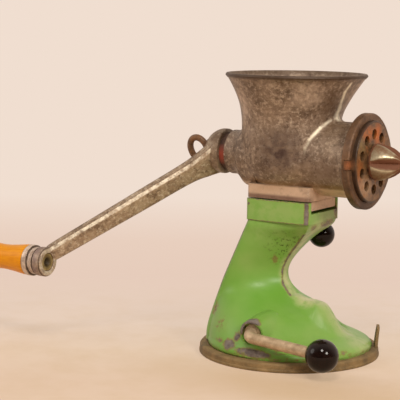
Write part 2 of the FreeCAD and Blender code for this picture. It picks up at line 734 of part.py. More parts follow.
def lever_rod():
    shaft = rod_y(lever_rod_r, lever_bend_y, shaft_end_y)
    bend = Part.BSplineCurve()
    bend.interpolate(
        Points=[V(0, lever_bend_y, lever_axis_z), V(0.9, lever_bend_y - 3.4, lever_axis_z - 0.1),
                V(3.6, lever_bend_y - 6.6, lever_axis_z - 0.4), V(8.6, lever_arm_y, lever_axis_z - 1.0)],
        InitialTangent=V(0, -1, 0),
        FinalTangent=V(56.0, 1.8, -5.4),
    )
    stop = V(ball_x - 5.0, lever_arm_y + 1.8, ball_z + 0.5)
    arm = Part.makeLine(V(8.6, lever_arm_y, lever_axis_z - 1.0), stop)
    ring = Part.Wire(Part.makeCircle(lever_rod_r, V(0, lever_bend_y, lever_axis_z), ACROSS))
    sweep = Part.Wire([bend.toShape(), arm]).makePipeShell([ring], True, True)
    return shaft.fuse(sweep).cut(cam_pin())


def ball_knob():
    ball = Part.makeSphere(ball_r, V(ball_x, lever_arm_y + 2.0, ball_z))
    return ball.cut(lever_rod())


def lever_bush_near():
    outer = rod_y(bush_r, near_bush_y, near_bush_y + 16.0)
    return outer.cut(rod_y(lever_rod_r + run_gap, -80.0, 80.0))


def lever_bush_far():
    outer = rod_y(bush_r, far_bush_y, far_bush_y + far_bush_l)
    return outer.cut(rod_y(lever_rod_r + run_gap, -80.0, 80.0))


def shaft_clip():
    ring = rod_y(6.4, far_bush_y + far_bush_l + 0.2, far_bush_y + far_bush_l + 1.4)
    return ring.cut(rod_y(lever_rod_r, -80.0, 80.0))


# Clamp screw.
def clamp_screw():
    return cylinder(clamp_screw_r, clamp_point(-1.0), clamp_out * -1, 34.0)


def clamp_shoe():
    return cylinder(3.3, clamp_point(33.0), clamp_out * -1, 5.1)


def clamp_knob():
    ball = Part.makeSphere(clamp_knob_r, clamp_knob_centre)
    back = cylinder(20.0, clamp_point(7.4), clamp_out * -1, 20.0)
    collar = cylinder(5.6, clamp_point(6.0), clamp_out * -1, 4.0)
    return ball.cut(back).fuse(collar).cut(clamp_screw())


export("grinder_body", grinder_body())
export("rear_bush", rear_bush())
export("perforated_plate", perforated_plate())
export("feed_screw", feed_screw())
export("cutter_knife", cutter_knife())
export("nut_washer", nut_washer())
export("star_nut", star_nut())
export("thrust_washer", thrust_washer())
export("crank_arm", crank_arm())
export("screw_washer", screw_washer())
export("crank_thumb_screw", crank_thumb_screw())
export("handle_spindle", handle_spindle())
export("handle_washer", handle_washer())
export("handle_ferrule", handle_ferrule())
export("handle_grip", handle_grip())
export("stand", stand())
export("suction_pad", suction_pad())
export("pad_insert", pad_insert())
export("pull_yoke", pull_yoke())
export("guide_bush", guide_bush())
export("lever_rod", lever_rod())
export("lever_cam", lever_cam())
export("cam_pin", cam_pin())
export("ball_knob", ball_knob())
export("lever_bush_near", lever_bush_near())
export("lever_bush_far", lever_bush_far())
export("shaft_clip", shaft_clip())
export("clamp_screw", clamp_screw())
export("clamp_shoe", clamp_shoe())
export("clamp_knob", clamp_knob())
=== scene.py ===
"""Finished look of a hand crank meat grinder: its pieces, finishes, camera, light and table."""
import json
import math

import bmesh
import bpy
import numpy as np
from mathutils import Matrix, Vector

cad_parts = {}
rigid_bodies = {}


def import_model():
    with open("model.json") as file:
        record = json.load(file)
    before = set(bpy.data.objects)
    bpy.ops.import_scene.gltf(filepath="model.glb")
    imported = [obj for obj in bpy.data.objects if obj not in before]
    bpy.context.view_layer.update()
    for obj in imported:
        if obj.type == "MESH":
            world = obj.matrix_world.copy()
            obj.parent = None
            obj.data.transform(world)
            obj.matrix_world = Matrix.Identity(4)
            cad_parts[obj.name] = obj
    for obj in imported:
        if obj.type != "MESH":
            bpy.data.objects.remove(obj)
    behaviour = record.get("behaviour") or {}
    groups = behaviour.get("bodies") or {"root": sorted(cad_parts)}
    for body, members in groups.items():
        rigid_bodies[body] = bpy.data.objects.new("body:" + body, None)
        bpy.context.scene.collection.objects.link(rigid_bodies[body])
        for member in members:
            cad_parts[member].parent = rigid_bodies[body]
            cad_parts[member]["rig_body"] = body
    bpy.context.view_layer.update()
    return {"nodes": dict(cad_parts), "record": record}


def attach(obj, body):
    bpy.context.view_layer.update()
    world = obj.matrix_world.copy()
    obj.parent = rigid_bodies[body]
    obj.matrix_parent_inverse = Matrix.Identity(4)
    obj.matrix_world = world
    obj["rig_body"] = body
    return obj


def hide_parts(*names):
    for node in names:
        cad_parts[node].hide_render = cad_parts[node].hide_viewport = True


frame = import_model()

MM = 0.001
scene = bpy.context.scene

# Height of the feed line, the crank's radius, both in mm, and its rest angle, the same as the solids have.
AXIS_Z = 156.1
CRANK_RADIUS = 135.0
CRANK_TURN = math.radians(40.0)

# Camera at the photograph's place, aimed by its yaw, dip and roll.
CAMERA_PLACE = (0.5239, -0.9524, 0.2662)
CAMERA_YAW = math.radians(32.62)
CAMERA_DIP = math.radians(7.66)
CAMERA_ROLL = math.radians(0.76)
FOCAL_PIXELS = 1395.6
FRAME_PIXELS = 400.0
SENSOR_MM = 36.0
FARTHEST_SEEN = 50.0


def place_camera():
    """Camera axes: right lies level at the yaw, forward dips below it, and right and up are then rolled."""
    right = Vector((math.cos(CAMERA_YAW), math.sin(CAMERA_YAW), 0.0))
    forward = Vector((
        -math.sin(CAMERA_YAW) * math.cos(CAMERA_DIP),
        math.cos(CAMERA_YAW) * math.cos(CAMERA_DIP),
        -math.sin(CAMERA_DIP),
    ))
    up = right.cross(forward)
    cos_roll = math.cos(CAMERA_ROLL)
    sin_roll = math.sin(CAMERA_ROLL)
    rolled_right = right * cos_roll + up * sin_roll
    rolled_up = up * cos_roll - right * sin_roll
    data = bpy.data.cameras.new("camera")
    data.sensor_width = SENSOR_MM
    data.lens = FOCAL_PIXELS / FRAME_PIXELS * SENSOR_MM
    data.clip_end = FARTHEST_SEEN
    camera = bpy.data.objects.new("camera", data)
    turn = Matrix((rolled_right, rolled_up, -forward)).transposed()
    camera.matrix_world = Matrix.Translation(CAMERA_PLACE) @ turn.to_4x4()
    scene.collection.objects.link(camera)
    scene.camera = camera


# Shader helpers. A spot fades between two shares of its half sizes, a line from its reach to a share of it.
SPOT_FADE = (1.6, 0.3)
LINE_CORE = 0.2
RELIEF_STRENGTH = 0.5


def srgb(code):
    """Linear colour of an sRGB hex code."""
    value = np.array([int(code[i:i + 2], 16) for i in (1, 3, 5)]) / 255.0
    linear = np.where(value <= 0.04045, value / 12.92, ((value + 0.055) / 1.055) ** 2.4)
    return (*linear.tolist(), 1.0)


def per_mm(size):
    """Texture scale that gives features of about this many millimetres on Object coordinates in metres."""
    return 1.0 / (size * MM)


def add(tree, kind, links=None, out=0, stops=None, **settings):
    """Adds one node and gives its output, or all of them where out is None. Settings are the node's
    attributes, links give each input a socket, a value or a hex colour, and stops fill a ramp."""
    node = tree.nodes.new("ShaderNode" + kind)
    for name, value in settings.items():
        setattr(node, name, value)
    for socket, value in (links or {}).items():
        if isinstance(value, bpy.types.NodeSocket):
            tree.links.new(value, node.inputs[socket])
        else:
            node.inputs[socket].default_value = srgb(value) if isinstance(value, str) else value
    if stops:
        ramp = node.color_ramp
        while len(ramp.elements) < len(stops):
            ramp.elements.new(0.5)
        for element, (place, shade) in zip(ramp.elements, stops):
            element.position = place
            element.color = srgb(shade)
    return node.outputs if out is None else node.outputs[out]


def new_material(name, **sockets):
    """Principled material with plain socket values, and its Object coordinates."""
    mat = bpy.data.materials.new(name)
    mat.use_nodes = True
    tree = mat.node_tree
    shader = tree.nodes["Principled BSDF"]
    for socket, value in sockets.items():
        shader.inputs[socket.replace("_", " ")].default_value = value
    return mat, tree, shader, add(tree, "TexCoord", out="Object")


def between(tree, value, start, end, least=0.0, **settings):
    """Mask that runs from 0, or from least, at start to 1 at end."""
    limits = {"Value": value, "From Min": start, "From Max": end, "To Min": least}
    return add(tree, "MapRange", limits, **settings)


def fade(tree, value, ends, **settings):
    """Mask that runs from 0 to 1 between two sizes in mm."""
    return between(tree, value, ends[0] * MM, ends[1] * MM, **settings)


def ranged(tree, mask, at_zero, at_one):
    """A value that runs from at_zero to at_one as the mask runs from 0 to 1."""
    return add(tree, "MapRange", {"Value": mask, "To Min": at_zero, "To Max": at_one})


def blotches(tree, place, size, start, end, detail=5.0, rough=0.62):
    """Patches of about this size in mm: fractal noise stretched to run from 0 at start to 1 at end."""
    noise = {"Vector": place, "Scale": per_mm(size), "Detail": detail, "Roughness": rough}
    cloud = add(tree, "TexNoise", noise)
    return between(tree, cloud, start, end)


def near_spot(tree, place, centre, half):
    """1 in the middle of an ellipsoid given in mm, falling to 0 a little outside its half sizes."""
    offset = add(tree, "VectorMath", {0: place, 1: Vector(centre) * MM}, operation="SUBTRACT")
    shares = [per_mm(value) for value in half]
    scaled = add(tree, "VectorMath", {0: offset, 1: shares}, operation="MULTIPLY")
    reach = add(tree, "VectorMath", {0: scaled}, out="Value", operation="LENGTH")
    return between(tree, reach, *SPOT_FADE)


def near_line(tree, place, start, end, reach):
    """1 on the straight line between two points in mm, falling to 0 at the reach from it."""
    run = (Vector(end) - Vector(start)) * MM
    share = run / run.length_squared
    offset = add(tree, "VectorMath", {0: place, 1: Vector(start) * MM}, operation="SUBTRACT")
    along = add(tree, "VectorMath", {0: offset, 1: share}, out="Value", operation="DOT_PRODUCT")
    held = add(tree, "Math", {0: along, 1: 0.0}, operation="ADD", use_clamp=True)
    foot = add(tree, "VectorMath", {0: run, "Scale": held}, operation="SCALE")
    gap = add(tree, "VectorMath", {0: offset, 1: foot}, out="Value", operation="DISTANCE")
    return fade(tree, gap, (reach, LINE_CORE * reach))


def from_line(tree, place, base, across):
    """Distance from a straight line through base, given in mm; across is 0 along the line and 1 across it."""
    offset = add(tree, "VectorMath", {0: place, 1: Vector(base) * MM}, operation="SUBTRACT")
    level = add(tree, "VectorMath", {0: offset, 1: across}, operation="MULTIPLY")
    return add(tree, "VectorMath", {0: level}, out="Value", operation="LENGTH")


def paint(tree, under, over, *masks):
    """Lays one colour over another by the product of the masks; colours are sockets or hex codes."""
    share = 1.0
    for mask in masks:
        share = add(tree, "Math", {0: mask, 1: share}, operation="MULTIPLY", use_clamp=True)
    return add(tree, "Mix", {0: share, 6: under, 7: over}, out=2, data_type="RGBA")


def painted_stains_and_light(tree, place, colour, stains, patchy):
    """Paints stains and painted light and shade, each a row of centre, half sizes, colour and strength,
    broken up by the patches.
    """
    for centre, half, shade, amount in stains:
        colour = paint(tree, colour, shade, near_spot(tree, place, centre, half), patchy, amount)
    return colour


def surface(tree, shader, colour, gloss, height, depth):
    """Links colour, roughness and a relief of this depth in mm to the shader."""
    relief = add(tree, "Bump", {"Height": height, "Distance": depth * MM, "Strength": RELIEF_STRENGTH})
    for socket, value in (("Base Color", colour), ("Roughness", gloss), ("Normal", relief)):
        tree.links.new(value, shader.inputs[socket])


# Stains and painted light on the grinder's casting in mm: centre, half sizes, colour and strength. The dark
# patches low on the hopper's front and low on the barrel are painted shade, and the pale patch on the
# hopper's far right is a painted reflection of the backdrop.
BODY_STAINS_AND_SHADES = (
    ((31.0, -36.0, 206.0), (11.0, 10.0, 9.0), "#BCA794", 0.85),
    # Painted shade low on the hopper's front.
    ((9.0, -37.0, 163.0), (16.0, 12.0, 15.0), "#43302A", 1.15),
    ((40.0, -16.0, 198.0), (7.0, 8.0, 15.0), "#593C22", 0.65),
    ((-27.0, -36.0, 198.0), (7.0, 10.0, 20.0), "#CDB29B", 0.8),
    ((-29.0, -30.0, 176.0), (6.0, 12.0, 9.0), "#8F7559", 0.55),
    ((-2.0, -40.0, 192.0), (13.0, 8.0, 12.0), "#A28A72", 0.5),
    ((24.0, -30.0, 143.0), (9.0, 6.0, 8.0), "#A08768", 0.55),
    # Painted reflection of the backdrop on the hopper's far right.
    ((45.0, 14.0, 207.0), (8.0, 11.0, 15.0), "#C6A68B", 0.75),
    ((46.0, -28.0, 170.0), (9.0, 8.0, 9.0), "#A58E74", 0.5),
    # Painted shade low on the barrel.
    ((40.0, -30.0, 148.0), (14.0, 8.0, 9.0), "#5E4735", 0.8),
    ((44.0, -14.0, 182.0), (11.0, 13.0, 6.0), "#6E4F26", 0.5),
    ((29.0, -12.0, 121.0), (4.0, 5.0, 6.0), "#E0CCA4", 0.6),
    ((29.0, 6.0, 119.0), (4.0, 5.0, 6.0), "#74502F", 0.6),
)
# Painted highlights on the casting, along the mould seam of the hopper and the fillet above the barrel: ends
# and reach in mm, and strength.
BODY_HIGHLIGHTS = (
    ((52.3, -7.6, 214.3), (47.8, -8.0, 208.2), 2.2, 0.85),
    ((47.8, -8.0, 208.2), (43.7, -4.5, 201.0), 2.4, 0.9),
    ((43.7, -4.5, 201.0), (39.9, -1.6, 193.9), 3.4, 0.75),
    ((39.9, -1.6, 193.9), (38.8, -2.5, 187.6), 4.4, 0.8),
    ((36.9, -9.5, 186.4), (33.2, -18.6, 181.0), 1.7, 0.6),
    ((33.2, -18.6, 181.0), (28.2, -26.0, 172.5), 1.8, 1.0),
    ((28.2, -26.0, 172.5), (26.0, -29.0, 166.0), 1.9, 0.8),
    ((26.0, -29.0, 166.0), (25.0, -31.5, 158.0), 2.2, 0.5),
)
# Sizes of the casting in mm; each pair gives where a change of its colour starts and where it is full, the
# seat's change being painted shade.
FLANGE_X = 58.3
FLANGE_EDGE = (FLANGE_X, FLANGE_X + 1.2)
BEHIND_FLANGE = (FLANGE_X - 2.0, FLANGE_X - 3.0)
FOOT_TOP = 135.6
FOOT_EDGE = (FOOT_TOP + 0.8, FOOT_TOP - 1.2)
CREASE_EDGE = (140.5, 137.0)
SEAT_EDGE = (128.6, 126.8)
MOUTH_X = 2.4
LIP_RADIUS = 54.2
LIP_EDGE = (LIP_RADIUS - 1.2, LIP_RADIUS)
RIM_Z = 220.5
RIM_EDGE = (RIM_Z - 4.0, RIM_Z - 2.0)
# Painted shade on the casting, along the front of the foot's seat on the stand and under the flange: centre
# and half sizes in mm.
SEAT_SHADE = ((-2.0, -26.0, 126.0), (60.0, 6.0, 20.0))
UNDER_FLANGE_SHADE = ((63.0, -16.0, 119.0), (9.0, 22.0, 10.0))


def tinned_iron(name, dark, middle, light, fleck, metallic):
    """Hot-tinned cast iron, sand cast: the worn tin leaves cloudy patches, dark pits and pale flecks."""
    mat, tree, shader, place = new_material(name, Metallic=metallic)
    clouds = blotches(tree, place, 15.0, 0.3, 0.7, 7.0, 0.7)
    colour = add(tree, "ValToRGB", {"Fac": clouds}, stops=[(0.05, dark), (0.5, middle), (0.95, light)])
    pits = blotches(tree, place, 4.2, 0.5, 0.34, 4.0, 0.75)
    grains = blotches(tree, place, 3.0, 0.5, 0.68, 4.0, 0.75)
    colour = paint(tree, colour, dark, pits, 0.85)
    colour = paint(tree, colour, fleck, grains, 0.8)
    gloss = ranged(tree, clouds, 0.58, 0.42)
    surface(tree, shader, colour, gloss, grains, 0.15)
    return mat, tree, shader, place, colour, clouds


def body_iron():
    """The grinder's tinned casting, with a browned flange, a paler foot, darker towards the rim and the
    stains of use; painted shade low on its front, under the flange and along the foot's seat, and painted
    highlights and a painted reflection on the hopper.
    """
    mat, tree, shader, place, colour, clouds = tinned_iron(
        "worn_tinned_casting", "#523F31", "#7F6A58", "#94806D", "#BDAA95", 0.3)
    patchy = blotches(tree, place, 6.0, 0.3, 0.62, 6.0, 0.7)
    colour = painted_stains_and_light(tree, place, colour, BODY_STAINS_AND_SHADES, patchy)
    axes = add(tree, "SeparateXYZ", {"Vector": place}, out=None)
    flange = fade(tree, axes["X"], FLANGE_EDGE)
    behind_flange = fade(tree, axes["X"], BEHIND_FLANGE)
    colour = paint(tree, colour, paint(tree, "#3B2617", "#7A5637", clouds), flange, 0.9)
    # Painted shade under the flange.
    colour = paint(tree, colour, "#2F1D11", flange, near_spot(tree, place, *UNDER_FLANGE_SHADE), 0.75)
    foot = fade(tree, axes["Z"], FOOT_EDGE)
    thin = blotches(tree, place, 9.0, 0.2, 0.5)
    colour = paint(tree, colour, "#CDAF94", foot, behind_flange, thin, 0.85)
    crease = fade(tree, axes["Z"], CREASE_EDGE)
    above_foot = add(tree, "Math", {0: crease, 1: foot}, operation="SUBTRACT", use_clamp=True)
    colour = paint(tree, colour, "#86653F", above_foot, behind_flange, 0.6)
    # Darker towards the top of the rim, darkest on the outside of its lip.
    lip = fade(tree, from_line(tree, place, (MOUTH_X, 0.0, 0.0), (1.0, 1.0, 0.0)), LIP_EDGE)
    high = fade(tree, axes["Z"], RIM_EDGE)
    colour = paint(tree, paint(tree, colour, "#57422E", high, 0.6), "#3C2817", lip, high, 0.8)
    # Painted shade along the foot's seat on the stand.
    seat = fade(tree, axes["Z"], SEAT_EDGE)
    colour = paint(tree, colour, "#654639", seat, behind_flange, near_spot(tree, place, *SEAT_SHADE), 0.8)
    broken = blotches(tree, place, 4.0, 0.22, 0.5)
    # Painted highlights along the hopper's mould seam and the fillet above the barrel.
    for start, end, reach, amount in BODY_HIGHLIGHTS:
        colour = paint(tree, colour, "#EADFC6", near_line(tree, place, start, end, reach), broken, amount)
    tree.links.new(colour, shader.inputs["Base Color"])
    return mat


# Stains and painted shade on the crank in mm: centre, half sizes, colour and strength; the first two are
# painted shade on the hub's front and root.
CRANK_STAINS_AND_SHADE = (
    # Painted shade on the hub's front and root.
    ((-66.0, -8.0, 145.0), (8.0, 10.0, 9.0), "#463020", 0.25),
    ((-62.0, -6.0, 166.0), (5.0, 12.0, 8.0), "#5E4632", 0.8),
    ((-166.5, -103.4, 69.3), (4.6, 18.0, 18.0), "#836D68", 1.2),
)


def crank_iron():
    """The crank's tinned casting: speckled faces, bevels rubbed bright by hands under a painted highlight,
    painted shade on the hub and underside, and dark edges.
    """
    mat, tree, shader, place, colour, _ = tinned_iron(
        "worn_tinned_crank", "#6B5643", "#A58D74", "#BAA58C", "#DCCDB5", 0.35)
    colour = painted_stains_and_light(tree, place, colour, CRANK_STAINS_AND_SHADE, blotches(tree, place, 5.0, 0.25, 0.55))
    # The attribute carries rubbing and painted light: above 0.55 the bevels' rubbed metal and painted
    # highlight, below 0 painted shade and darker edges; the nut's works the same way.
    rubbed_and_lit = add(tree, "Attribute", out="Fac", attribute_name="rubbed_and_lit")
    bright = between(tree, rubbed_and_lit, 0.55, 1.0)
    colour = paint(tree, colour, "#F0E6D0", bright, blotches(tree, place, 4.5, 0.38, 0.6, 6.0, 0.7), 0.9)
    dull = between(tree, rubbed_and_lit, 0.0, -0.6)
    colour = paint(tree, colour, "#4A3828", dull, 0.85)
    tree.links.new(colour, shader.inputs["Base Color"])
    return mat


def browned_steel(name, dark, light, rust, spread_from=0.5):
    """Carbon steel left bare: a brown oxide skin with patches of orange rust."""
    mat, tree, shader, place = new_material(name, Metallic=0.3)
    skin = blotches(tree, place, 5.0, 0.36, 0.64, 6.0, 0.7)
    spread = blotches(tree, place, 10.0, spread_from, spread_from + 0.14)
    colour = paint(tree, paint(tree, dark, light, skin), rust, spread, 0.8)
    gloss = ranged(tree, spread, 0.45, 0.8)
    surface(tree, shader, colour, gloss, skin, 0.1)
    return mat, tree, shader, place, colour


# Rust and rubbed places on the perforated plate in mm: centre, half sizes, colour and strength.
PLATE_STAINS = (
    ((70.0, -12.0, 178.0), (2.0, 9.0, 5.0), "#B4601A", 0.9),
    ((70.0, 5.0, 176.0), (2.0, 5.0, 8.0), "#BE6420", 0.9),
    ((70.0, -24.0, 150.0), (2.5, 4.5, 13.0), "#A3622F", 0.8),
    ((70.0, -14.0, 138.0), (2.0, 11.0, 9.0), "#B99574", 0.6),
    ((70.0, -22.0, 168.0), (2.0, 5.0, 7.0), "#8D7A52", 0.7),
    ((70.0, 14.0, 158.0), (2.0, 8.0, 14.0), "#9A6337", 0.75),
    ((66.0, -35.0, 156.0), (4.0, 4.0, 5.0), "#A2613A", 0.85),
)
PLATE_EDGE = 29.3
PLATE_RIM = (PLATE_EDGE, PLATE_EDGE + 1.0)
PLATE_LUG = ((66.0, -35.0, 156.0), (5.0, 6.0, 4.5))


def plate_steel():
    """The perforated plate: browned steel, orange where water stood, rubbed pale below, with painted shade of
    the gap at its edge.
    """
    mat, tree, shader, place, colour = browned_steel(
        "browned_plate_steel", "#47301F", "#84623F", "#93592A", 0.56)
    patchy = blotches(tree, place, 4.0, 0.28, 0.52, 6.0, 0.7)
    colour = painted_stains_and_light(tree, place, colour, PLATE_STAINS, patchy)
    # Painted shade of the gap between the plate's edge and the flange, left off at the lug.
    rim_shade = fade(tree, from_line(tree, place, (0.0, 0.0, AXIS_Z), (0.0, 1.0, 1.0)), PLATE_RIM)
    lug = near_spot(tree, place, *PLATE_LUG)
    plain = add(tree, "Math", {0: 1.0, 1: lug}, operation="SUBTRACT", use_clamp=True)
    colour = paint(tree, colour, "#2C1C11", rim_shade, plain, 0.85)
    tree.links.new(colour, shader.inputs["Base Color"])
    return mat


# Places where the enamel has worn through: centre, half sizes in mm, and how far the metal shows.
WORN_PLACES = (
    ((-1.0, -58.5, 35.5), (11.0, 5.0, 4.0), 0.95),
    ((-9.0, -60.0, 30.0), (4.0, 5.0, 7.0), 0.85),
    ((4.0, -63.0, 11.5), (19.0, 4.0, 3.8), 0.8),
    ((-19.0, -58.0, 14.0), (8.0, 6.0, 5.0), 0.8),
    ((-14.0, -58.0, 23.0), (4.0, 5.0, 8.0), 0.8),
    ((-24.0, -26.2, 119.5), (1.4, 1.2, 1.4), 0.7),
    ((-50.0, -34.0, 36.0), (5.0, 7.0, 9.0), 0.56),
    ((-7.0, -13.0, 75.0), (3.0, 5.0, 6.0), 0.52),
    ((6.0, -10.0, 92.0), (5.0, 5.0, 7.0), 0.5),
    ((61.0, -24.0, 13.0), (5.0, 9.0, 4.0), 0.5),
    ((-30.0, -52.0, 15.0), (8.0, 8.0, 3.0), 0.56),
    ((26.0, -12.0, 103.0), (5.0, 8.0, 5.0), 0.52),
    ((27.0, 8.0, 104.0), (6.0, 15.0, 5.0), 0.56),
    ((28.4, 20.0, 113.0), (3.0, 5.0, 9.0), 0.56),
    ((56.0, 0.0, 20.0), (8.0, 8.0, 4.0), 0.46),
    ((0.0, -5.0, 8.5), (80.0, 80.0, 3.8), 0.6),
    ((22.0, -56.0, 16.0), (16.0, 8.0, 7.0), 0.44),
    ((-36.0, -46.0, 26.0), (10.0, 8.0, 12.0), 0.4),
)
# Edges that hands and the table have rubbed: points along each edge, its reach in mm and how far it shows.
WORN_EDGES = (
    (((-25.8, -22.4, 106.0), (-34.8, -22.0, 87.0), (-44.7, -22.1, 65.0), (-51.4, -23.4, 47.0),
      (-55.0, -25.4, 34.0), (-57.5, -27.4, 20.0)), 3.0, 0.8),
    (((-24.0, -26.2, 123.5), (25.0, -26.2, 123.5)), 1.2, 0.56),
    (((-24.0, -26.2, 106.7), (25.0, -26.2, 106.7)), 1.4, 0.56),
    (((-26.6, -25.0, 106.7), (-26.6, -25.0, 123.5)), 1.6, 0.58),
    (((27.0, -25.9, 107.0), (27.0, -25.9, 123.5)), 3.6, 0.85),
    (((28.4, 24.8, 106.0), (28.4, 24.8, 127.0)), 2.4, 0.8),
    (((19.6, -15.0, 97.0), (9.6, -8.5, 87.0), (0.6, -5.6, 76.0), (-4.4, -4.8, 65.0), (-2.6, -6.2, 55.0),
      (4.0, -6.8, 47.0)), 3.0, 0.6),
)
# Pale places on the glaze, and their colour: on the toe's upper ridge and the instep rubbed thin glaze under
# a painted sheen of the backdrop, on the waist under the head painted light, elsewhere glaze rubbed thin.
# Centre, half sizes in mm and strength.
PALE_GLAZE_AND_SHEEN = "#CBC298"
PALE_PLACES = (
    ((24.0, 8.0, 44.0), (12.0, 13.0, 6.0), 0.75),
    ((34.0, 12.0, 35.0), (9.0, 16.0, 9.0), 0.6),
    ((42.0, 12.0, 26.0), (9.0, 16.0, 9.0), 0.55),
    ((52.0, 10.0, 18.0), (10.0, 16.0, 7.0), 0.32),
    ((62.0, 4.0, 12.5), (8.0, 15.0, 5.0), 0.35),
    ((17.0, -3.0, 43.0), (8.0, 8.0, 5.0), 0.75),
    ((0.0, -26.5, 115.0), (34.0, 4.0, 9.0), 0.2),
    ((-6.0, -20.0, 97.0), (22.0, 12.0, 9.0), 0.16),
    ((24.0, -2.0, 100.0), (8.0, 18.0, 7.0), 0.5),
    ((28.4, 6.0, 110.0), (3.0, 20.0, 8.0), 0.3),
)
# Painted light on the strip down the front of the waist, the face that the right lamp lights: points along
# it, reach in mm and strength.
PALE_STRIP = (
    ((17.0, -6.0, 95.0), (11.8, -4.0, 89.2), (5.4, -3.0, 83.2), (-1.5, -1.5, 72.2), (-4.1, -1.0, 61.0),
     (-1.1, -1.5, 53.6), (5.3, -2.0, 46.8), (14.0, 0.0, 44.5)), 8.0, 0.42)
# Where the glaze is peppered with pinholes: centre and half sizes in mm.
PINHOLES = ((4.0, -14.0, 86.0), (14.0, 10.0, 16.0))


def green_enamel():
    """Vitreous enamel on cast iron: a glossy glass coat, chipped to grey iron with brown rims of rust, pale
    where rubbed thin, with a painted sheen on the toe and painted light down the waist's front and under the
    head.
    """
    mat, tree, shader, place = new_material("green_vitreous_enamel", Specular_IOR_Level=0.36)
    flow = blotches(tree, place, 38.0, 0.3, 0.7, 3.0, 0.5)
    greens = ((0.0, "#689A36"), (0.5, "#739F42"), (1.0, "#80A34E"))
    colour = add(tree, "ValToRGB", {"Fac": flow}, stops=greens)
    thin = blotches(tree, place, 7.0, 0.25, 0.55)
    # Pale places: rubbed thin glaze, with a painted sheen on the toe and painted light on the waist under the
    # head.
    for centre, half, amount in PALE_PLACES:
        colour = paint(tree, colour, PALE_GLAZE_AND_SHEEN, near_spot(tree, place, centre, half), thin, amount)
    # Painted light down the front of the waist.
    points, reach, amount = PALE_STRIP
    for start, end in zip(points, points[1:]):
        colour = paint(tree, colour, PALE_GLAZE_AND_SHEEN, near_line(tree, place, start, end, reach), thin, amount)
    # Real pinholes are finer; at this size they show.
    pepper = blotches(tree, place, 2.4, 0.55, 0.61, 3.0)
    colour = paint(tree, colour, "#3C4A1E", near_spot(tree, place, *PINHOLES), pepper, 0.85)
    spots = [(near_spot(tree, place, centre, half), most) for centre, half, most in WORN_PLACES]
    for points, reach, most in WORN_EDGES:
        runs = zip(points, points[1:])
        spots += [(near_line(tree, place, start, end, reach), most) for start, end in runs]
    wear = 0.0
    for spot, most in spots:
        share = add(tree, "Math", {0: spot, 1: most}, operation="MULTIPLY")
        wear = add(tree, "Math", {0: share, 1: wear}, operation="MAXIMUM")
    ragged = add(tree, "TexNoise", {"Vector": place, "Scale": per_mm(3.2), "Detail": 6.0, "Roughness": 0.72})
    broken = add(tree, "Math", {0: wear, 1: ragged}, operation="ADD")
    rusty = between(tree, broken, 0.84, 0.98)
    colour = paint(tree, colour, "#80693C", rusty, 0.8)
    colour = paint(tree, colour, "#5D5230", blotches(tree, place, 8.0, 0.68, 0.71, 8.0, 0.75), 0.8)
    bare = between(tree, broken, 1.02, 1.1)
    iron = paint(tree, "#50443F", "#82776F", blotches(tree, place, 5.0, 0.3, 0.65))
    colour = paint(tree, colour, iron, bare)
    matt = ranged(tree, bare, 0.35, 0.55)
    wavy = add(tree, "Math", {0: flow, 1: 0.35}, operation="MULTIPLY")
    surface(tree, shader, colour, matt, add(tree, "Math", {0: wavy, 1: bare}, operation="SUBTRACT"), 0.3)
    return mat


def lacquered_wood():
    """Turned beech under orange lacquer: faint darker grain along the handle and a clear glossy skin."""
    mat, tree, shader, place = new_material("orange_lacquered_beech", Specular_IOR_Level=0.2)
    along = add(tree, "Mapping", {"Vector": place, "Scale": (0.06, 1.0, 1.0)})
    grain = blotches(tree, along, 1.8, 0.3, 0.72)
    oranges = ((0.0, "#CF7F08"), (0.5, "#DD8D0A"), (1.0, "#E69B14"))
    colour = add(tree, "ValToRGB", {"Fac": grain}, stops=oranges)
    gloss = ranged(tree, grain, 0.4, 0.32)
    surface(tree, shader, colour, gloss, grain, 0.04)
    return mat


def drawn_steel(name, dark, light, rough, metallic=0.75):
    """Cold-drawn steel rod or sheet: bare, worn satin with a warm tarnish and scratches."""
    mat, tree, shader, place = new_material(name, Metallic=metallic)
    colour = paint(tree, dark, light, blotches(tree, place, 6.0, 0.36, 0.62))
    # Real scratches are finer; at this size they show.
    scratches = blotches(tree, place, 0.8, 0.2, 0.8, 2.0, 0.5)
    gloss = ranged(tree, scratches, rough - 0.12, rough + 0.15)
    surface(tree, shader, colour, gloss, scratches, 0.04)
    return mat, tree, shader, place, colour


# Painted shade in the hollow middle of the rivet's end: centre and half sizes in mm.
RIVET_HOLLOW_SHADE = ((-161.7, -103.4, 69.3), (4.0, 4.0, 4.0))
# Dirty gaps between the grip, its ferrule, the washer and the boss: X and half width in mm.
RING_GAPS = (-178.6, -174.0, -169.5)
RING_GAP_HALF = 0.3


def rivet_steel():
    """The spindle's riveted end in the boss: olive with old grease, with painted shade in its hollow middle.
    """
    mat, tree, shader, place, colour = drawn_steel("greasy_rivet_steel", "#7A6438", "#A8925F", 0.6, 0.2)
    # Painted shade in the hollow.
    hollow_shade = near_spot(tree, place, *RIVET_HOLLOW_SHADE)
    tree.links.new(paint(tree, colour, "#35270A", hollow_shade, 1.5), shader.inputs["Base Color"])
    return mat


def ferrule_steel():
    """The pale rings behind the grip: worn steel with dirt in the gaps between them."""
    mat, tree, shader, place, colour = drawn_steel("worn_ferrule_steel", "#97806F", "#D8C5B4", 0.42, 0.45)
    along = add(tree, "SeparateXYZ", {"Vector": place}, out="X")
    for gap in RING_GAPS:
        dirt = add(tree, "Math", {0: along, 1: gap * MM, 2: RING_GAP_HALF * MM}, operation="COMPARE")
        colour = paint(tree, colour, "#3A2A1E", dirt, 0.8)
    tree.links.new(colour, shader.inputs["Base Color"])
    return mat


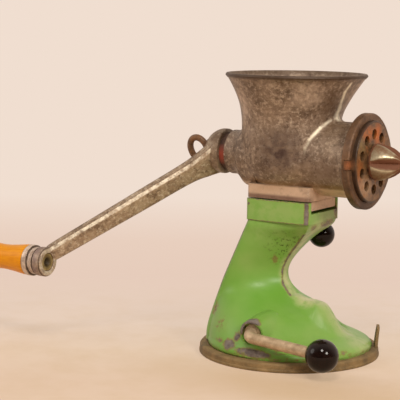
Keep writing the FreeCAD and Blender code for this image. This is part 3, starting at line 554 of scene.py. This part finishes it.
def polished_nut():
    """Machined steel nut: bright where hands rub the lands, brown rust left in the flutes and at the tip,
    with a painted highlight beside each flute, painted shade on its underside and a painted dark reflection
    on its top.
    """
    mat, tree, shader, place = new_material("polished_nut_steel")
    rubbed_and_lit = add(tree, "Attribute", out="Fac", attribute_name="rubbed_and_lit")
    rough = blotches(tree, place, 2.2, 0.2, 0.8, 5.0, 0.65)
    uneven = ranged(tree, rough, -0.25, 0.25)
    clean_and_lit = add(tree, "Math", {0: rubbed_and_lit, 1: uneven}, operation="ADD", use_clamp=True)
    rust_to_bright = ((0.08, "#6B4028"), (0.32, "#7F6448"), (0.6, "#97886F"), (0.95, "#D2C6A8"))
    colour = add(tree, "ValToRGB", {"Fac": clean_and_lit}, stops=rust_to_bright)
    metal = ranged(tree, clean_and_lit, 0.1, 0.75)
    tree.links.new(metal, shader.inputs["Metallic"])
    gloss = ranged(tree, clean_and_lit, 0.75, 0.38)
    surface(tree, shader, colour, gloss, rough, 0.08)
    return mat


def phenolic():
    """Moulded phenolic resin: near black, hard and glossy, with faint rub marks."""
    mat, tree, shader, place = new_material("black_phenolic", Specular_IOR_Level=0.24)
    haze = blotches(tree, place, 5.0, 0.35, 0.7, 4.0)
    colour = paint(tree, "#110908", "#1E110D", haze)
    gloss = ranged(tree, haze, 0.06, 0.16)
    surface(tree, shader, colour, gloss, haze, 0.02)
    return mat


def aged_rubber():
    """Moulded natural rubber gone tan with age: dull, dusty in patches, with a fine pitted skin."""
    mat, tree, shader, place = new_material("aged_tan_rubber")
    dusty = blotches(tree, place, 14.0, 0.32, 0.7, 7.0, 0.7)
    tans = ((0.0, "#5E4C2E"), (0.5, "#806740"), (1.0, "#9C8056"))
    colour = add(tree, "ValToRGB", {"Fac": dusty}, stops=tans)
    colour = paint(tree, colour, "#4E3C24", blotches(tree, place, 3.5, 0.6, 0.7), 0.6)
    matt = ranged(tree, dusty, 0.66, 0.8)
    # The skin's real pits are finer; at this size they show.
    pits = blotches(tree, place, 1.4, 0.2, 0.8, 3.0)
    surface(tree, shader, colour, matt, pits, 0.15)
    return mat


def plain_matter(name, dark, light, size, metallic, rough):
    """Small washers and bushes: one colour with the stains and wear of use."""
    mat, tree, shader, place = new_material(name, Metallic=metallic)
    stain = blotches(tree, place, size, 0.35, 0.66)
    colour = paint(tree, dark, light, stain)
    gloss = ranged(tree, stain, rough + 0.05, rough - 0.05)
    surface(tree, shader, colour, gloss, stain, 0.05)
    return mat, tree, shader, place, colour


# Spot on the fibre washer's side where the red shows: centre and half sizes in mm.
FIBRE_SIDE = ((-56.0, -15.0, 154.0), (7.0, 5.0, 6.0))


def fibre_washer():
    """Red vulcanised fibre: dark brown, the red showing in a spot at its side."""
    mat, tree, shader, place, colour = plain_matter(
        "red_vulcanised_fibre", "#39241A", "#533827", 5.0, 0.0, 0.7)
    side = near_spot(tree, place, *FIBRE_SIDE)
    tree.links.new(paint(tree, colour, "#933C28", side, 0.9), shader.inputs["Base Color"])
    return mat


finishes = {
    "tinned_iron": body_iron(),
    "crank_iron": crank_iron(),
    "browned_steel": browned_steel("browned_steel", "#4C3120", "#775337", "#8A5B30")[0],
    "plate_steel": plate_steel(),
    "loop_iron": browned_steel("browned_loop_iron", "#5E4430", "#8E6D54", "#8A623E")[0],
    "polished_nut": polished_nut(),
    "bare_steel": drawn_steel("drawn_steel", "#857B70", "#B0A79B", 0.35)[0],
    "lever_steel": drawn_steel("worn_lever_rod", "#A28A6C", "#C6AE8E", 0.45, 0.4)[0],
    "ferrule_steel": ferrule_steel(),
    "rivet_steel": rivet_steel(),
    "green_enamel": green_enamel(),
    "red_fibre": fibre_washer(),
    "handle_wood": lacquered_wood(),
    "black_plastic": phenolic(),
    "aged_rubber": aged_rubber(),
    "bronze": plain_matter("aged_bronze", "#7A684E", "#A28E70", 4.0, 0.3, 0.5)[0],
}
slot_of = {row["node"]: row["material_slot"] for row in frame["record"]["subparts"]}
replaced = set()


# Surface helpers: every shape is a grid of points, worked out as whole arrays.
CORNER_SHARE = 0.48
SEAM_GAP = 1e-6
SOLID_GAP = 2e-6


def rounded(profile, radius, samples=6):
    """Cuts each inner corner of an open outline with a quadratic arc that starts up to radius from it."""
    points = np.array(profile, float)
    corner = points[1:-1, None]
    before = points[:-2, None] - corner
    after = points[2:, None] - corner
    length_before = np.linalg.norm(before, axis=2, keepdims=True)
    length_after = np.linalg.norm(after, axis=2, keepdims=True)
    cut_before = np.minimum(radius, length_before * CORNER_SHARE) / np.maximum(length_before, 1e-9)
    cut_after = np.minimum(radius, length_after * CORNER_SHARE) / np.maximum(length_after, 1e-9)
    t = np.linspace(0.0, 1.0, samples)[None, :, None]
    arc = corner + before * cut_before * (1 - t) ** 2 + after * cut_after * t ** 2
    return np.vstack([points[:1], arc.reshape(-1, points.shape[1]), points[-1:]])


def smooth_through(points, count):
    """Catmull-Rom curve through the points: cubic spans whose slopes are half the neighbours' chord."""
    knots = np.array(points, float)
    padded = np.vstack([2 * knots[0] - knots[1], knots, 2 * knots[-1] - knots[-2]])
    place = np.linspace(0.0, len(knots) - 1 - 1e-9, count)
    span = place.astype(int)
    t = (place - span)[:, None]
    p0, p1, p2, p3 = (padded[span + i] for i in range(4))
    return 0.5 * (2 * p1 + (p2 - p0) * t + (2 * p0 - 5 * p1 + 4 * p2 - p3) * t ** 2
                  + (3 * p1 - p0 - 3 * p2 + p3) * t ** 3)


def lathe(profile, base, axis, steps=96):
    """Surface of revolution: rows of (distance along the axis, radius) turned about the axis through base."""
    outline = np.array(profile, float)
    along = np.array(axis, float) / np.linalg.norm(axis)
    helper = np.array((0.0, 0.0, 1.0)) if abs(along[2]) < 0.9 else np.array((1.0, 0.0, 0.0))
    side = np.cross(helper, along)
    side /= np.linalg.norm(side)
    other = np.cross(along, side)
    angle = np.linspace(0.0, 2 * np.pi, steps, endpoint=False)
    spoke = np.cos(angle)[:, None] * side + np.sin(angle)[:, None] * other
    return np.array(base) + outline[:, None, :1] * along + outline[:, None, 1:] * spoke[None]


def swept(path, section, across):
    """Closed section carried along a path; its axes are across, squared to the path, and the third one."""
    line = np.array(path, float)
    tangent = np.gradient(line, axis=0)
    tangent /= np.linalg.norm(tangent, axis=1, keepdims=True)
    across = np.broadcast_to(np.array(across, float), line.shape)
    first = across - (across * tangent).sum(1, keepdims=True) * tangent
    first /= np.linalg.norm(first, axis=1, keepdims=True)
    second = np.cross(tangent, first)
    shape = np.broadcast_to(np.array(section, float), (len(line),) + np.array(section).shape[-2:])
    body = line[:, None] + shape[..., :1] * first[:, None] + shape[..., 1:] * second[:, None]
    start = np.broadcast_to(body[0].mean(0), body[0].shape)
    end = np.broadcast_to(body[-1].mean(0), body[-1].shape)
    return np.concatenate([start[None], body, end[None]])


def turned_with_crank(points):
    """Turns points about the feed line by the crank's rest angle."""
    y = points[..., 1]
    z = points[..., 2] - AXIS_Z
    cos_turn = math.cos(CRANK_TURN)
    sin_turn = math.sin(CRANK_TURN)
    return np.stack([points[..., 0], y * cos_turn - z * sin_turn, AXIS_Z + y * sin_turn + z * cos_turn], -1)


def make_piece(name, grids, node, finish, rubbed_and_lit=None, smooth_deg=40.0):
    """One mesh from grids in mm, each closed round its second index, in place of a CAD node."""
    corners = []
    faces = []
    start = 0
    for grid in grids:
        rows, columns = grid.shape[:2]
        index = start + np.arange(rows * columns).reshape(rows, columns)
        index = np.hstack([index, index[:, :1]])
        quads = np.stack([index[:-1, :-1], index[1:, :-1], index[1:, 1:], index[:-1, 1:]], -1)
        faces.append(quads.reshape(-1, 4))
        corners.append(grid.reshape(-1, 3) * MM)
        start += rows * columns
    mesh = bpy.data.meshes.new(name)
    mesh.from_pydata(np.vstack(corners).tolist(), [], np.vstack(faces).tolist())
    if rubbed_and_lit is not None:
        layer = mesh.attributes.new("rubbed_and_lit", "FLOAT", "POINT")
        shares = np.concatenate([grid.ravel() for grid in rubbed_and_lit])
        layer.data.foreach_set("value", shares.astype(np.float32))
    joined = bmesh.new()
    joined.from_mesh(mesh)
    bmesh.ops.remove_doubles(joined, verts=joined.verts, dist=SEAM_GAP)
    bmesh.ops.recalc_face_normals(joined, faces=joined.faces)
    joined.to_mesh(mesh)
    joined.free()
    dress(name, mesh, node, finish, smooth_deg)


def dress(name, mesh, node, finish, smooth_deg):
    """Links a mesh as a visible piece that rides with, and stands for, its CAD node."""
    mesh.materials.clear()
    mesh.materials.append(finishes[finish])
    mesh.shade_smooth()
    mesh.set_sharp_from_angle(angle=math.radians(smooth_deg))
    obj = bpy.data.objects.new(name, mesh)
    scene.collection.objects.link(obj)
    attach(obj, frame["nodes"][node]["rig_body"])
    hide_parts(node)
    replaced.add(node)
    return obj


# The stand's foot falls away past the instep: the reach and the X between which it sinks, the heights that
# take part, the share of height lost, the longest edge left whole, its cuts, and the rounds of smoothing.
TOE_TURN = math.radians(32.6)
TOE_REACH = (29.0, 43.0)
TOE_X = (6.0, 22.0)
TOE_HEIGHTS = (8.0, 50.0)
TOE_DROP = 0.4
TOE_EDGE = 4.0
TOE_CUTS = 2
TOE_SMOOTHING = 6


def smooth_step(value, ends):
    """3t^2 - 2t^3, where t runs from 0 to 1 between the two ends."""
    t = np.clip((value - ends[0]) / (ends[1] - ends[0]), 0.0, 1.0)
    return 3.0 * t ** 2 - 2.0 * t ** 3


def on_foot(x, z):
    """Whether a place in mm lies on the part of the stand that sinks."""
    return (x > TOE_X[0]) & (z > TOE_HEIGHTS[0]) & (z < TOE_HEIGHTS[1])


def divide_foot(mesh):
    """Cuts the foot's long edges, so that its faces can follow the fall."""
    divided = bmesh.new()
    divided.from_mesh(mesh)
    edges = [edge for edge in divided.edges if edge.calc_length() > TOE_EDGE * MM]
    edges = [edge for edge in edges if all(on_foot(end.co.x / MM, end.co.z / MM) for end in edge.verts)]
    bmesh.ops.subdivide_edges(divided, edges=edges, cuts=TOE_CUTS, use_grid_fill=True)
    divided.to_mesh(mesh)
    divided.free()


def lower_toe(mesh):
    """Heights shrink by TOE_DROP times two smooth steps, along the reach X cos A + |Y| sin A and along X.
    Then each corner of the foot moves half way to the mean of its neighbours, TOE_SMOOTHING times."""
    divide_foot(mesh)
    places = np.empty(len(mesh.vertices) * 3, np.float32)
    mesh.vertices.foreach_get("co", places)
    places = places.reshape(-1, 3).astype(float) / MM
    x, y, z = places.T
    foot = on_foot(x, z)
    reach = x * math.cos(TOE_TURN) + np.abs(y) * math.sin(TOE_TURN)
    drop = TOE_DROP * smooth_step(reach, TOE_REACH) * smooth_step(x, TOE_X)
    places[foot, 2] -= ((z - TOE_HEIGHTS[0]) * drop)[foot]
    ends = np.empty(len(mesh.edges) * 2, np.int32)
    mesh.edges.foreach_get("vertices", ends)
    ends = ends.reshape(-1, 2)
    neighbours = np.bincount(ends.ravel(), minlength=len(places))[:, None]
    for _ in range(TOE_SMOOTHING):
        total = np.zeros_like(places)
        np.add.at(total, ends, places[ends[:, ::-1]])
        places[foot] += 0.5 * (total[foot] / neighbours[foot] - places[foot])
    mesh.vertices.foreach_set("co", (places * MM).astype(np.float32).ravel())
    mesh.update()


# Angles between a solid's faces: up to which they count as flat, up to which as round, and past which eased.
FLAT_ANGLE = math.radians(0.4)
SMOOTH_DEG = 32.0
EASED_ANGLE = math.radians(38.0)


def merged_copy(node, finish, edge_mm):
    """A solid's own mesh with its loose triangles joined and its sharp edges eased by a small bevel."""
    mesh = frame["nodes"][node].data.copy()
    joined = bmesh.new()
    joined.from_mesh(mesh)
    bmesh.ops.remove_doubles(joined, verts=joined.verts, dist=SOLID_GAP)
    bmesh.ops.dissolve_limit(joined, angle_limit=FLAT_ANGLE, verts=joined.verts, edges=joined.edges)
    joined.to_mesh(mesh)
    joined.free()
    if node == "stand":
        lower_toe(mesh)
    obj = dress(node + "_finished", mesh, node, finish, SMOOTH_DEG)
    if edge_mm > 0.0:
        ease = obj.modifiers.new("eased_edges", "BEVEL")
        ease.width = edge_mm * MM
        ease.segments = 2
        ease.limit_method = "ANGLE"
        ease.angle_limit = EASED_ANGLE
        ease.harden_normals = True


# Lamps above the camera, to its right and, weaker, to its left: name, place and size in metres, power in
# watts and tint. All are aimed at the object's middle.
LAMPS = (
    ("high_lamp", (0.62, -1.15, 1.55), 0.5, 15.5, "#FFF8EF"),
    ("right_lamp", (1.45, -0.72, 0.95), 0.45, 14.0, "#FFF7EC"),
    ("left_lamp", (-1.3, -1.0, 0.9), 0.9, 5.0, "#FFFAF4"),
)
LAMP_TARGET = (0.0, 0.0, 0.12)


def add_lamp(name, place, size, power, tint):
    """A round area lamp aimed at the target."""
    data = bpy.data.lights.new(name, "AREA")
    data.shape = "DISK"
    data.size = size
    data.energy = power
    data.color = srgb(tint)[:3]
    lamp = bpy.data.objects.new(name, data)
    aim = Vector(LAMP_TARGET) - Vector(place)
    lamp.rotation_euler = aim.to_track_quat("-Z", "Y").to_euler()
    lamp.location = place
    scene.collection.objects.link(lamp)


# Surround: its colours, the even light's strength, and the direction and shares between which it turns pale.
BACKDROP = "#F0DED0"
ROOM_DARK = "#4A3B30"
EVEN_LIGHT = "#F3EAE0"
EVEN_STRENGTH = 0.5
BEHIND = (-math.sin(CAMERA_YAW), math.cos(CAMERA_YAW), 0.0)
BEHIND_AND_UP = (BEHIND[0], BEHIND[1], 0.45)
ROOM_TURN = 0.35


def light_room():
    """Reflections see the backdrop behind the object and a darker room before it; diffuse light is even."""
    for lamp in LAMPS:
        add_lamp(*lamp)
    world = bpy.data.worlds.new("pale_surround")
    scene.world = world
    world.use_nodes = True
    tree = world.node_tree
    tree.nodes.clear()
    rays = add(tree, "LightPath", out=None)
    way = add(tree, "TexCoord", out="Generated")
    backwards = add(tree, "VectorMath", {0: way, 1: BEHIND_AND_UP}, out="Value", operation="DOT_PRODUCT")
    lit_side = between(tree, backwards, -ROOM_TURN, ROOM_TURN)
    even = add(tree, "Background", {"Color": EVEN_LIGHT, "Strength": EVEN_STRENGTH})
    mirrored = add(tree, "Background", {"Color": paint(tree, ROOM_DARK, BACKDROP, lit_side)})
    shown = add(tree, "Background", {"Color": BACKDROP})
    seen = add(tree, "Math", {0: rays["Is Camera Ray"], 1: rays["Is Transmission Ray"]}, operation="MAXIMUM")
    soft = add(tree, "MixShader", {0: rays["Is Glossy Ray"], 1: even, 2: mirrored})
    add(tree, "OutputWorld", {"Surface": add(tree, "MixShader", {0: seen, 1: soft, 2: shown})}, out=None)


# Table top: its half size in metres, and distances in mm behind the object, or round it, between which its
# colour runs to the backdrop's, its grain fades out, and its own light comes in.
TABLE_HALF = 30.0
TABLE_RUN = (-100.0, 1100.0)
TABLE_SHADES = (
    (0.0, "#E4C8AF"), (0.08, "#E9D0B8"), (0.16, "#E9D2BF"), (0.34, "#E6CCBB"), (0.52, "#E8CFBE"),
    (0.85, BACKDROP),
)
GRAIN_RUN = (300.0, 0.0)
GLOW_RUN = (-100.0, 300.0)
GLOW_ROUND = (500.0, 1600.0)
GLOW_LEAST = 0.5
# Painted soft shadow on the table before the object, warm in tone: centre and half sizes in mm.
TABLE_SHADOW = ((60.0, -95.0, 0.0), (110.0, 40.0, 50.0))


def lay_table():
    """Level table top; its colour runs from tan before the object to the backdrop's own colour behind it."""
    half = TABLE_HALF
    corners = [(-half, -half, 0.0), (half, -half, 0.0), (half, half, 0.0), (-half, half, 0.0)]
    mesh = bpy.data.meshes.new("table_top")
    mesh.from_pydata(corners, [], [(0, 1, 2, 3)])
    top = bpy.data.objects.new("table_top", mesh)
    scene.collection.objects.link(top)
    mat, tree, shader, place = new_material("pale_table", Roughness=0.85)
    mesh.materials.append(mat)
    depth = add(tree, "VectorMath", {0: place, 1: BEHIND}, out="Value", operation="DOT_PRODUCT")
    away = fade(tree, depth, TABLE_RUN)
    shade = add(tree, "ValToRGB", {"Fac": away}, stops=TABLE_SHADES)
    near = fade(tree, depth, GRAIN_RUN)
    grain = blotches(tree, place, 45.0, 0.42, 0.7, 6.0, 0.65)
    colour = paint(tree, shade, "#D6B791", grain, near, 0.35)
    # Painted soft shadow before the object.
    colour = paint(tree, colour, "#CBAA80", near_spot(tree, place, *TABLE_SHADOW), 0.55)
    tree.links.new(colour, shader.inputs["Base Color"])
    rays = add(tree, "LightPath", out=None)
    kinds = {0: rays["Is Glossy Ray"], 1: rays["Is Transmission Ray"]}
    mirrored = add(tree, "Math", kinds, operation="MAXIMUM")
    seen = add(tree, "Math", {0: rays["Is Camera Ray"], 1: mirrored}, operation="MAXIMUM")
    far = fade(tree, depth, GLOW_RUN, least=GLOW_LEAST, interpolation_type="SMOOTHSTEP")
    spread = add(tree, "VectorMath", {0: place}, out="Value", operation="LENGTH")
    outside = fade(tree, spread, GLOW_ROUND)
    even = add(tree, "Math", {0: far, 1: outside}, operation="MAXIMUM")
    shown = add(tree, "Math", {0: even, 1: seen}, operation="MULTIPLY")
    glow = add(tree, "Emission", {"Color": colour})
    both = add(tree, "MixShader", {0: shown, 1: shader.outputs[0], 2: glow})
    tree.links.new(both, tree.nodes["Material Output"].inputs["Surface"])


# Suction pad: tan rubber disc, by height and radius in mm along its outline.
PAD_OUTLINE = (
    (0.0, 0.0), (0.0, 66.0), (0.5, 67.0), (0.5, 68.6), (0.0, 69.4), (0.0, 70.6), (0.6, 71.2), (2.0, 71.2),
    (2.5, 70.7), (5.6, 70.7), (6.9, 69.6), (7.0, 57.0), (3.0, 50.0), (3.0, 24.0), (6.0, 21.0), (6.0, 4.3),
    (4.5, 4.3), (4.5, 17.3), (3.0, 17.3), (3.0, 0.0),
)
# Its upright pull tab: distance from the pad's middle and height in mm along the tab, and its half sizes.
TAB_ANGLE = math.radians(28.0)
TAB_LINE = ((68.2, 1.0), (68.4, 4.0), (68.6, 8.0), (68.9, 12.0), (69.4, 17.0), (69.9, 21.0), (69.9, 22.9))
TAB_HALF_WIDTH = 7.0
TAB_HALF_THICK = 1.3
TAB_STEPS = 40


def suction_pad():
    """A turned disc, and a tab whose section, |cos|^0.25 by |sin|^0.4, narrows and thins as it rises."""
    disc = lathe(rounded(PAD_OUTLINE, 0.45), (0, 0, 0), (0, 0, 1), 160)
    side = np.array((-math.sin(TAB_ANGLE), math.cos(TAB_ANGLE), 0.0))
    reach, level = np.array(TAB_LINE).T
    path = smooth_through(np.stack([reach * side[1], -reach * side[0], level], -1), TAB_STEPS)
    angle = np.linspace(0.0, 2 * np.pi, TAB_STEPS, endpoint=False)
    cos_angle = np.cos(angle)
    sin_angle = np.sin(angle)
    section = np.stack([np.sign(cos_angle) * np.abs(cos_angle) ** 0.25 * TAB_HALF_WIDTH,
                        np.sign(sin_angle) * np.abs(sin_angle) ** 0.4 * TAB_HALF_THICK], -1)
    rise = np.linspace(0.0, 1.0, TAB_STEPS)[:, None, None]
    taper = np.concatenate([1.0 - 0.3 * rise ** 3, 1.25 - 0.35 * rise], axis=2)
    tab = swept(path, section[None] * taper, side)
    make_piece("pad_moulding", [disc, tab], "suction_pad", "aged_rubber")


# Nut in front of the plate: a bullet, by distance from its back and radius in mm along its outline.
NUT_BACK = 71.0
NUT_LENGTH = 22.0
NUT_OUTLINE = (
    (11.5, 0.0), (11.5, 5.05), (0.0, 5.05), (0.0, 13.2), (0.8, 14.0), (4.0, 14.0), (9.0, 13.3), (14.0, 11.4),
    (18.4, 8.6), (21.0, 5.9), (NUT_LENGTH, 3.3), (NUT_LENGTH, 0.0),
)
# Its flutes: their start in mm, half width in radians and how that grows, and depth as a share of the radius.
FLUTE_PITCH = math.pi / 2
FLUTE_START = 1.4
FLUTE_WIDTH = 0.14
FLUTE_GROWTH = 0.5
FLUTE_DEPTH = 0.6
# Its wear and painted light: rust to this far from its back and between these places at its tip in mm, and
# the half width in radians of the painted highlight beside a flute.
NUT_BASE_RUST = 2.4
NUT_TIP_RUST = (17.0, 20.0)
HIGHLIGHT_RIDGE_WIDTH = 0.15
NUT_STEPS = 240


def fluted_nut():
    """Radius = outline radius less a V flute; each flute widens and deepens from the base to the tip."""
    outline = rounded(NUT_OUTLINE, 1.6, 8)
    angle = np.linspace(0.0, 2 * np.pi, NUT_STEPS, endpoint=False)
    outer = np.arange(len(outline)) > np.argmax(outline[:, 1]) - 1
    along = np.where(outer, outline[:, 0], 0.0)
    run = np.clip((along - FLUTE_START) / (NUT_LENGTH - FLUTE_START), 0.0, 1.0)
    from_flute = np.abs((angle + FLUTE_PITCH / 2) % FLUTE_PITCH - FLUTE_PITCH / 2)[None]
    width = (FLUTE_WIDTH + FLUTE_GROWTH * run)[:, None]
    vee = np.clip(1.0 - from_flute / width, 0.0, 1.0)
    depth = (FLUTE_DEPTH * run ** 0.7)[:, None]
    radius = outline[:, 1:] * (1.0 - depth * vee)
    grid = np.stack([
        np.broadcast_to(NUT_BACK + outline[:, :1], radius.shape),
        radius * np.cos(angle),
        AXIS_Z + radius * np.sin(angle),
    ], -1)
    tip_from, tip_to = NUT_TIP_RUST
    base = np.clip(1.0 - along / NUT_BASE_RUST, 0.0, 1.0)[:, None]
    tip = np.clip((along - tip_from) / (tip_to - tip_from), 0.0, 1.0)[:, None]
    # Painted shade on the underside and a painted dark reflection on the top, summed with the rust; a painted
    # highlight beside each flute.
    shade_below = np.clip(-np.sin(angle) - 0.25, 0.0, 1.0)[None]
    dark_reflection_above = np.clip(np.sin(angle) - 0.55, 0.0, 1.0)[None]
    fluted = depth > 0.02
    grooved = np.clip(vee * 1.7, 0.0, 1.0) * fluted
    past_flute = from_flute - width
    highlight_ridge = np.exp(-(past_flute / HIGHLIGHT_RIDGE_WIDTH) ** 2) * (past_flute > 0.0) * fluted
    rust = grooved + 0.4 * base + 0.5 * tip + 0.5 * shade_below + 0.9 * dark_reflection_above
    rubbed_and_lit = np.clip(0.52 + 0.48 * highlight_ridge - rust, 0.0, 1.0)
    make_piece("fluted_nut", [grid], "star_nut", "polished_nut", rubbed_and_lit=[rubbed_and_lit], smooth_deg=50.0)


# Crank casting: hub, bevelled bar and end boss in mm, drawn with the bar along -Y.
HUB_FRONT = -59.2
HUB_BACK = -75.0
HUB_BORE = 5.6
BOSS_FRONT = -160.7
BOSS_BACK = BOSS_FRONT - 8.5
BOSS_BORE = 4.5
BOSS_RADIUS = 11.6
BOSS_EASE = 1.2
RECESS_BACK = BOSS_FRONT - 2.6
RECESS_RADIUS = 7.2
BAR_BEVEL = 2.4
# Along the bar: X, distance from the feed line, half height and half thickness.
BAR_STATIONS = (
    (-66.0, 7.0, 14.6, 5.4), (-74.4, 16.5, 11.6, 5.3), (-85.0, 28.5, 9.2, 5.0), (-110.0, 59.5, 8.6, 4.8),
    (-135.1, 90.6, 8.0, 4.6), (-160.2, 121.6, 7.4, 4.4), (-163.6, 126.2, 6.9, 3.6),
)
# How bright, or below 0 how dark, the hub and the four points of each of the bar's eight corners are painted:
# the bright line on the bar's upper bevel is rubbed metal under a painted highlight, the dark on the hub and
# the bar's underside is painted shade, and the bar's top face is darker.
HUB_SHADE = -0.28
BAR_WEAR_AND_LIGHT = (
    (0.0, 0.0, 0.0, 0.0),
    (0.0, -0.3, -0.6, -0.15),
    (-0.15, -0.6, 0.2, 1.0),
    (1.0, 0.8, 0.2, 0.0),
    (0.0, 0.0, -0.1, -0.25),
    (-0.25, -0.5, -0.6, -0.4),
    (0.0, 0.0, 0.0, 0.0),
    (0.0, 0.0, 0.0, 0.0),
)


def crank_bar():
    """An eight-sided section with eased corners, carried from inside the hub to inside the boss."""
    x, out, half, thick = smooth_through(BAR_STATIONS, 90).T
    path = np.stack([x, -out, np.full(len(x), AXIS_Z)], -1)
    inner = half - BAR_BEVEL
    low = thick - BAR_BEVEL
    middle = 0.0 * half
    corners = (
        (middle, thick), (inner, thick), (half, low), (half, -low), (inner, -thick),
        (-inner, -thick), (-half, -low), (-half, low), (-inner, thick), (middle, thick),
    )
    loop = np.stack([np.stack(corner, -1) for corner in corners], 1)
    section = np.stack([rounded(ring, 0.7, 4)[:-1] for ring in loop])
    bar = swept(path, section, (0.0, 0.0, 1.0))
    around = np.concatenate([[0.0], np.ravel(BAR_WEAR_AND_LIGHT)])
    return bar, np.broadcast_to(around, bar.shape[:2])


def crank_boss():
    """A turned ring with a recess before its bore; its front and recess floor are bright, its rim dark."""
    outline = (
        (RECESS_BACK, BOSS_BORE), (RECESS_BACK, RECESS_RADIUS), (BOSS_FRONT, RECESS_RADIUS),
        (BOSS_FRONT, BOSS_RADIUS - BOSS_EASE), (BOSS_FRONT - BOSS_EASE, BOSS_RADIUS),
        (BOSS_BACK + BOSS_EASE, BOSS_RADIUS), (BOSS_BACK, BOSS_RADIUS - BOSS_EASE), (BOSS_BACK, BOSS_BORE),
        (RECESS_BACK, BOSS_BORE),
    )
    boss = lathe(rounded(outline, 0.7), (0, -CRANK_RADIUS, AXIS_Z), (1, 0, 0))
    x = boss[..., 0]
    across = np.hypot(boss[..., 1] + CRANK_RADIUS, boss[..., 2] - AXIS_Z)
    floor_ring = (x > RECESS_BACK - 0.2) & (across < RECESS_RADIUS - 0.2) & (across > BOSS_BORE + 0.3)
    front_ring = (x > BOSS_FRONT - 0.3) & (across > RECESS_RADIUS + 0.1)
    outer_edge = (x > BOSS_FRONT - 1.5) & (across > BOSS_RADIUS - 0.6)
    return boss, 0.78 * (floor_ring | front_ring) - 0.6 * (outer_edge & ~front_ring)


def crank_casting():
    """A turned hub with the bar and the boss, all turned about the feed line to the crank's rest angle."""
    outline = (
        (HUB_FRONT, HUB_BORE), (HUB_FRONT, 17.4), (HUB_FRONT - 1.0, 18.0), (HUB_FRONT - 5.0, 18.0),
        (HUB_FRONT - 9.0, 16.7), (HUB_FRONT - 12.6, 14.3), (HUB_FRONT - 15.0, 11.5), (HUB_BACK, 10.0),
        (HUB_BACK, HUB_BORE), (HUB_FRONT, HUB_BORE),
    )
    hub = lathe(rounded(outline, 1.6), (0, 0, AXIS_Z), (1, 0, 0))
    boss, boss_wear_and_light = crank_boss()
    bar, bar_wear_and_light = crank_bar()
    rubbed_and_lit = [np.full(hub.shape[:2], HUB_SHADE), boss_wear_and_light, bar_wear_and_light]
    grids = [turned_with_crank(grid) for grid in (hub, boss, bar)]
    make_piece("crank_casting", grids, "crank_arm", "crank_iron", rubbed_and_lit=rubbed_and_lit, smooth_deg=38.0)


# Handle: one turned shape in mm, by share of its length and radius along its waist, belly and far end.
GRIP_START = -179.0
GRIP_END = -272.0
GRIP_RADIUS = 11.9
GRIP_BORE = 4.55
GRIP_RECESS_RADIUS = 7.3
GRIP_RECESS_FLOOR = GRIP_END + 4.9
GRIP_BELLY = (
    (0.0, GRIP_RADIUS), (0.04, 12.0), (0.16, 10.6), (0.28, 9.9), (0.42, 10.8), (0.6, 12.8), (0.76, 13.4),
    (0.9, 12.4), (0.97, 10.0), (1.0, 7.8),
)


def turned_handle():
    """Radius follows a smooth curve through the waist and the belly."""
    share, radius = smooth_through(GRIP_BELLY, 80).T
    side = np.stack([GRIP_START + (GRIP_END - GRIP_START) * share, radius], -1)
    front = rounded([(GRIP_START, GRIP_BORE), (GRIP_START, GRIP_RADIUS), tuple(side[2])], 0.5)
    end = rounded([
        tuple(side[-1]), (GRIP_END, GRIP_RECESS_RADIUS), (GRIP_RECESS_FLOOR, GRIP_RECESS_RADIUS),
        (GRIP_RECESS_FLOOR, GRIP_BORE), (GRIP_START, GRIP_BORE),
    ], 0.4)
    outline = np.vstack([front, side[3:], end[1:]])
    grid = turned_with_crank(lathe(outline, (0, -CRANK_RADIUS, AXIS_Z), (1, 0, 0), 80))
    make_piece("turned_handle", [grid], "handle_grip", "handle_wood")


# Ball moulded on the lever's end, in mm, with a small collar round the rod; the rod's end gives its axis.
BALL_CENTRE = (64.0, -66.0, 18.7)
BALL_RADIUS = 12.4
BALL_AXIS = (50.4, 1.8, -4.8)
ROD_RADIUS = 4.3
ROD_TIP = -5.0
COLLAR_WIDTH = 0.7
COLLAR_STEP = 0.2
MOUTH_RADIUS = ROD_RADIUS + 0.9


def lever_ball():
    """A circle turned about the rod's line, from the mouth round the rod to the far pole."""
    angle = np.linspace(math.asin(MOUTH_RADIUS / BALL_RADIUS), math.pi, 64)
    round_part = np.stack([-BALL_RADIUS * np.cos(angle), BALL_RADIUS * np.sin(angle)], -1)
    front = round_part[0, 0] - COLLAR_STEP
    neck = rounded([
        (ROD_TIP, 0.0), (ROD_TIP, ROD_RADIUS), (front, ROD_RADIUS), (front, ROD_RADIUS + COLLAR_WIDTH),
        tuple(round_part[0]),
    ], 0.3)
    grid = lathe(np.vstack([neck, round_part[1:]]), BALL_CENTRE, BALL_AXIS, 72)
    make_piece("lever_ball", [grid], "ball_knob", "black_plastic")


place_camera()
light_room()
lay_table()
suction_pad()
fluted_nut()
crank_casting()
turned_handle()
lever_ball()

# Solids shown with joined faces and eased edges, the stand with its foot lowered too; edge size in mm.
EASED = {
    "grinder_body": ("tinned_iron", 0.5),
    "stand": ("green_enamel", 0.6),
    "perforated_plate": ("plate_steel", 0.25),
    "nut_washer": ("browned_steel", 0.2),
    "thrust_washer": ("red_fibre", 0.4),
    "screw_washer": ("browned_steel", 0.2),
    "crank_thumb_screw": ("loop_iron", 0.3),
    "handle_spindle": ("rivet_steel", 0.3),
    "handle_washer": ("ferrule_steel", 0.5),
    "handle_ferrule": ("ferrule_steel", 0.0),
    "lever_rod": ("lever_steel", 0.0),
    "clamp_knob": ("black_plastic", 0.4),
}
for node, (finish, edge) in EASED.items():
    merged_copy(node, finish, edge)

# The other pieces, most of them inside, keep their solids.
for node, obj in frame["nodes"].items():
    if node not in replaced:
        obj.data.materials.clear()
        obj.data.materials.append(finishes[slot_of[node]])

scene.view_settings.view_transform = "Standard"
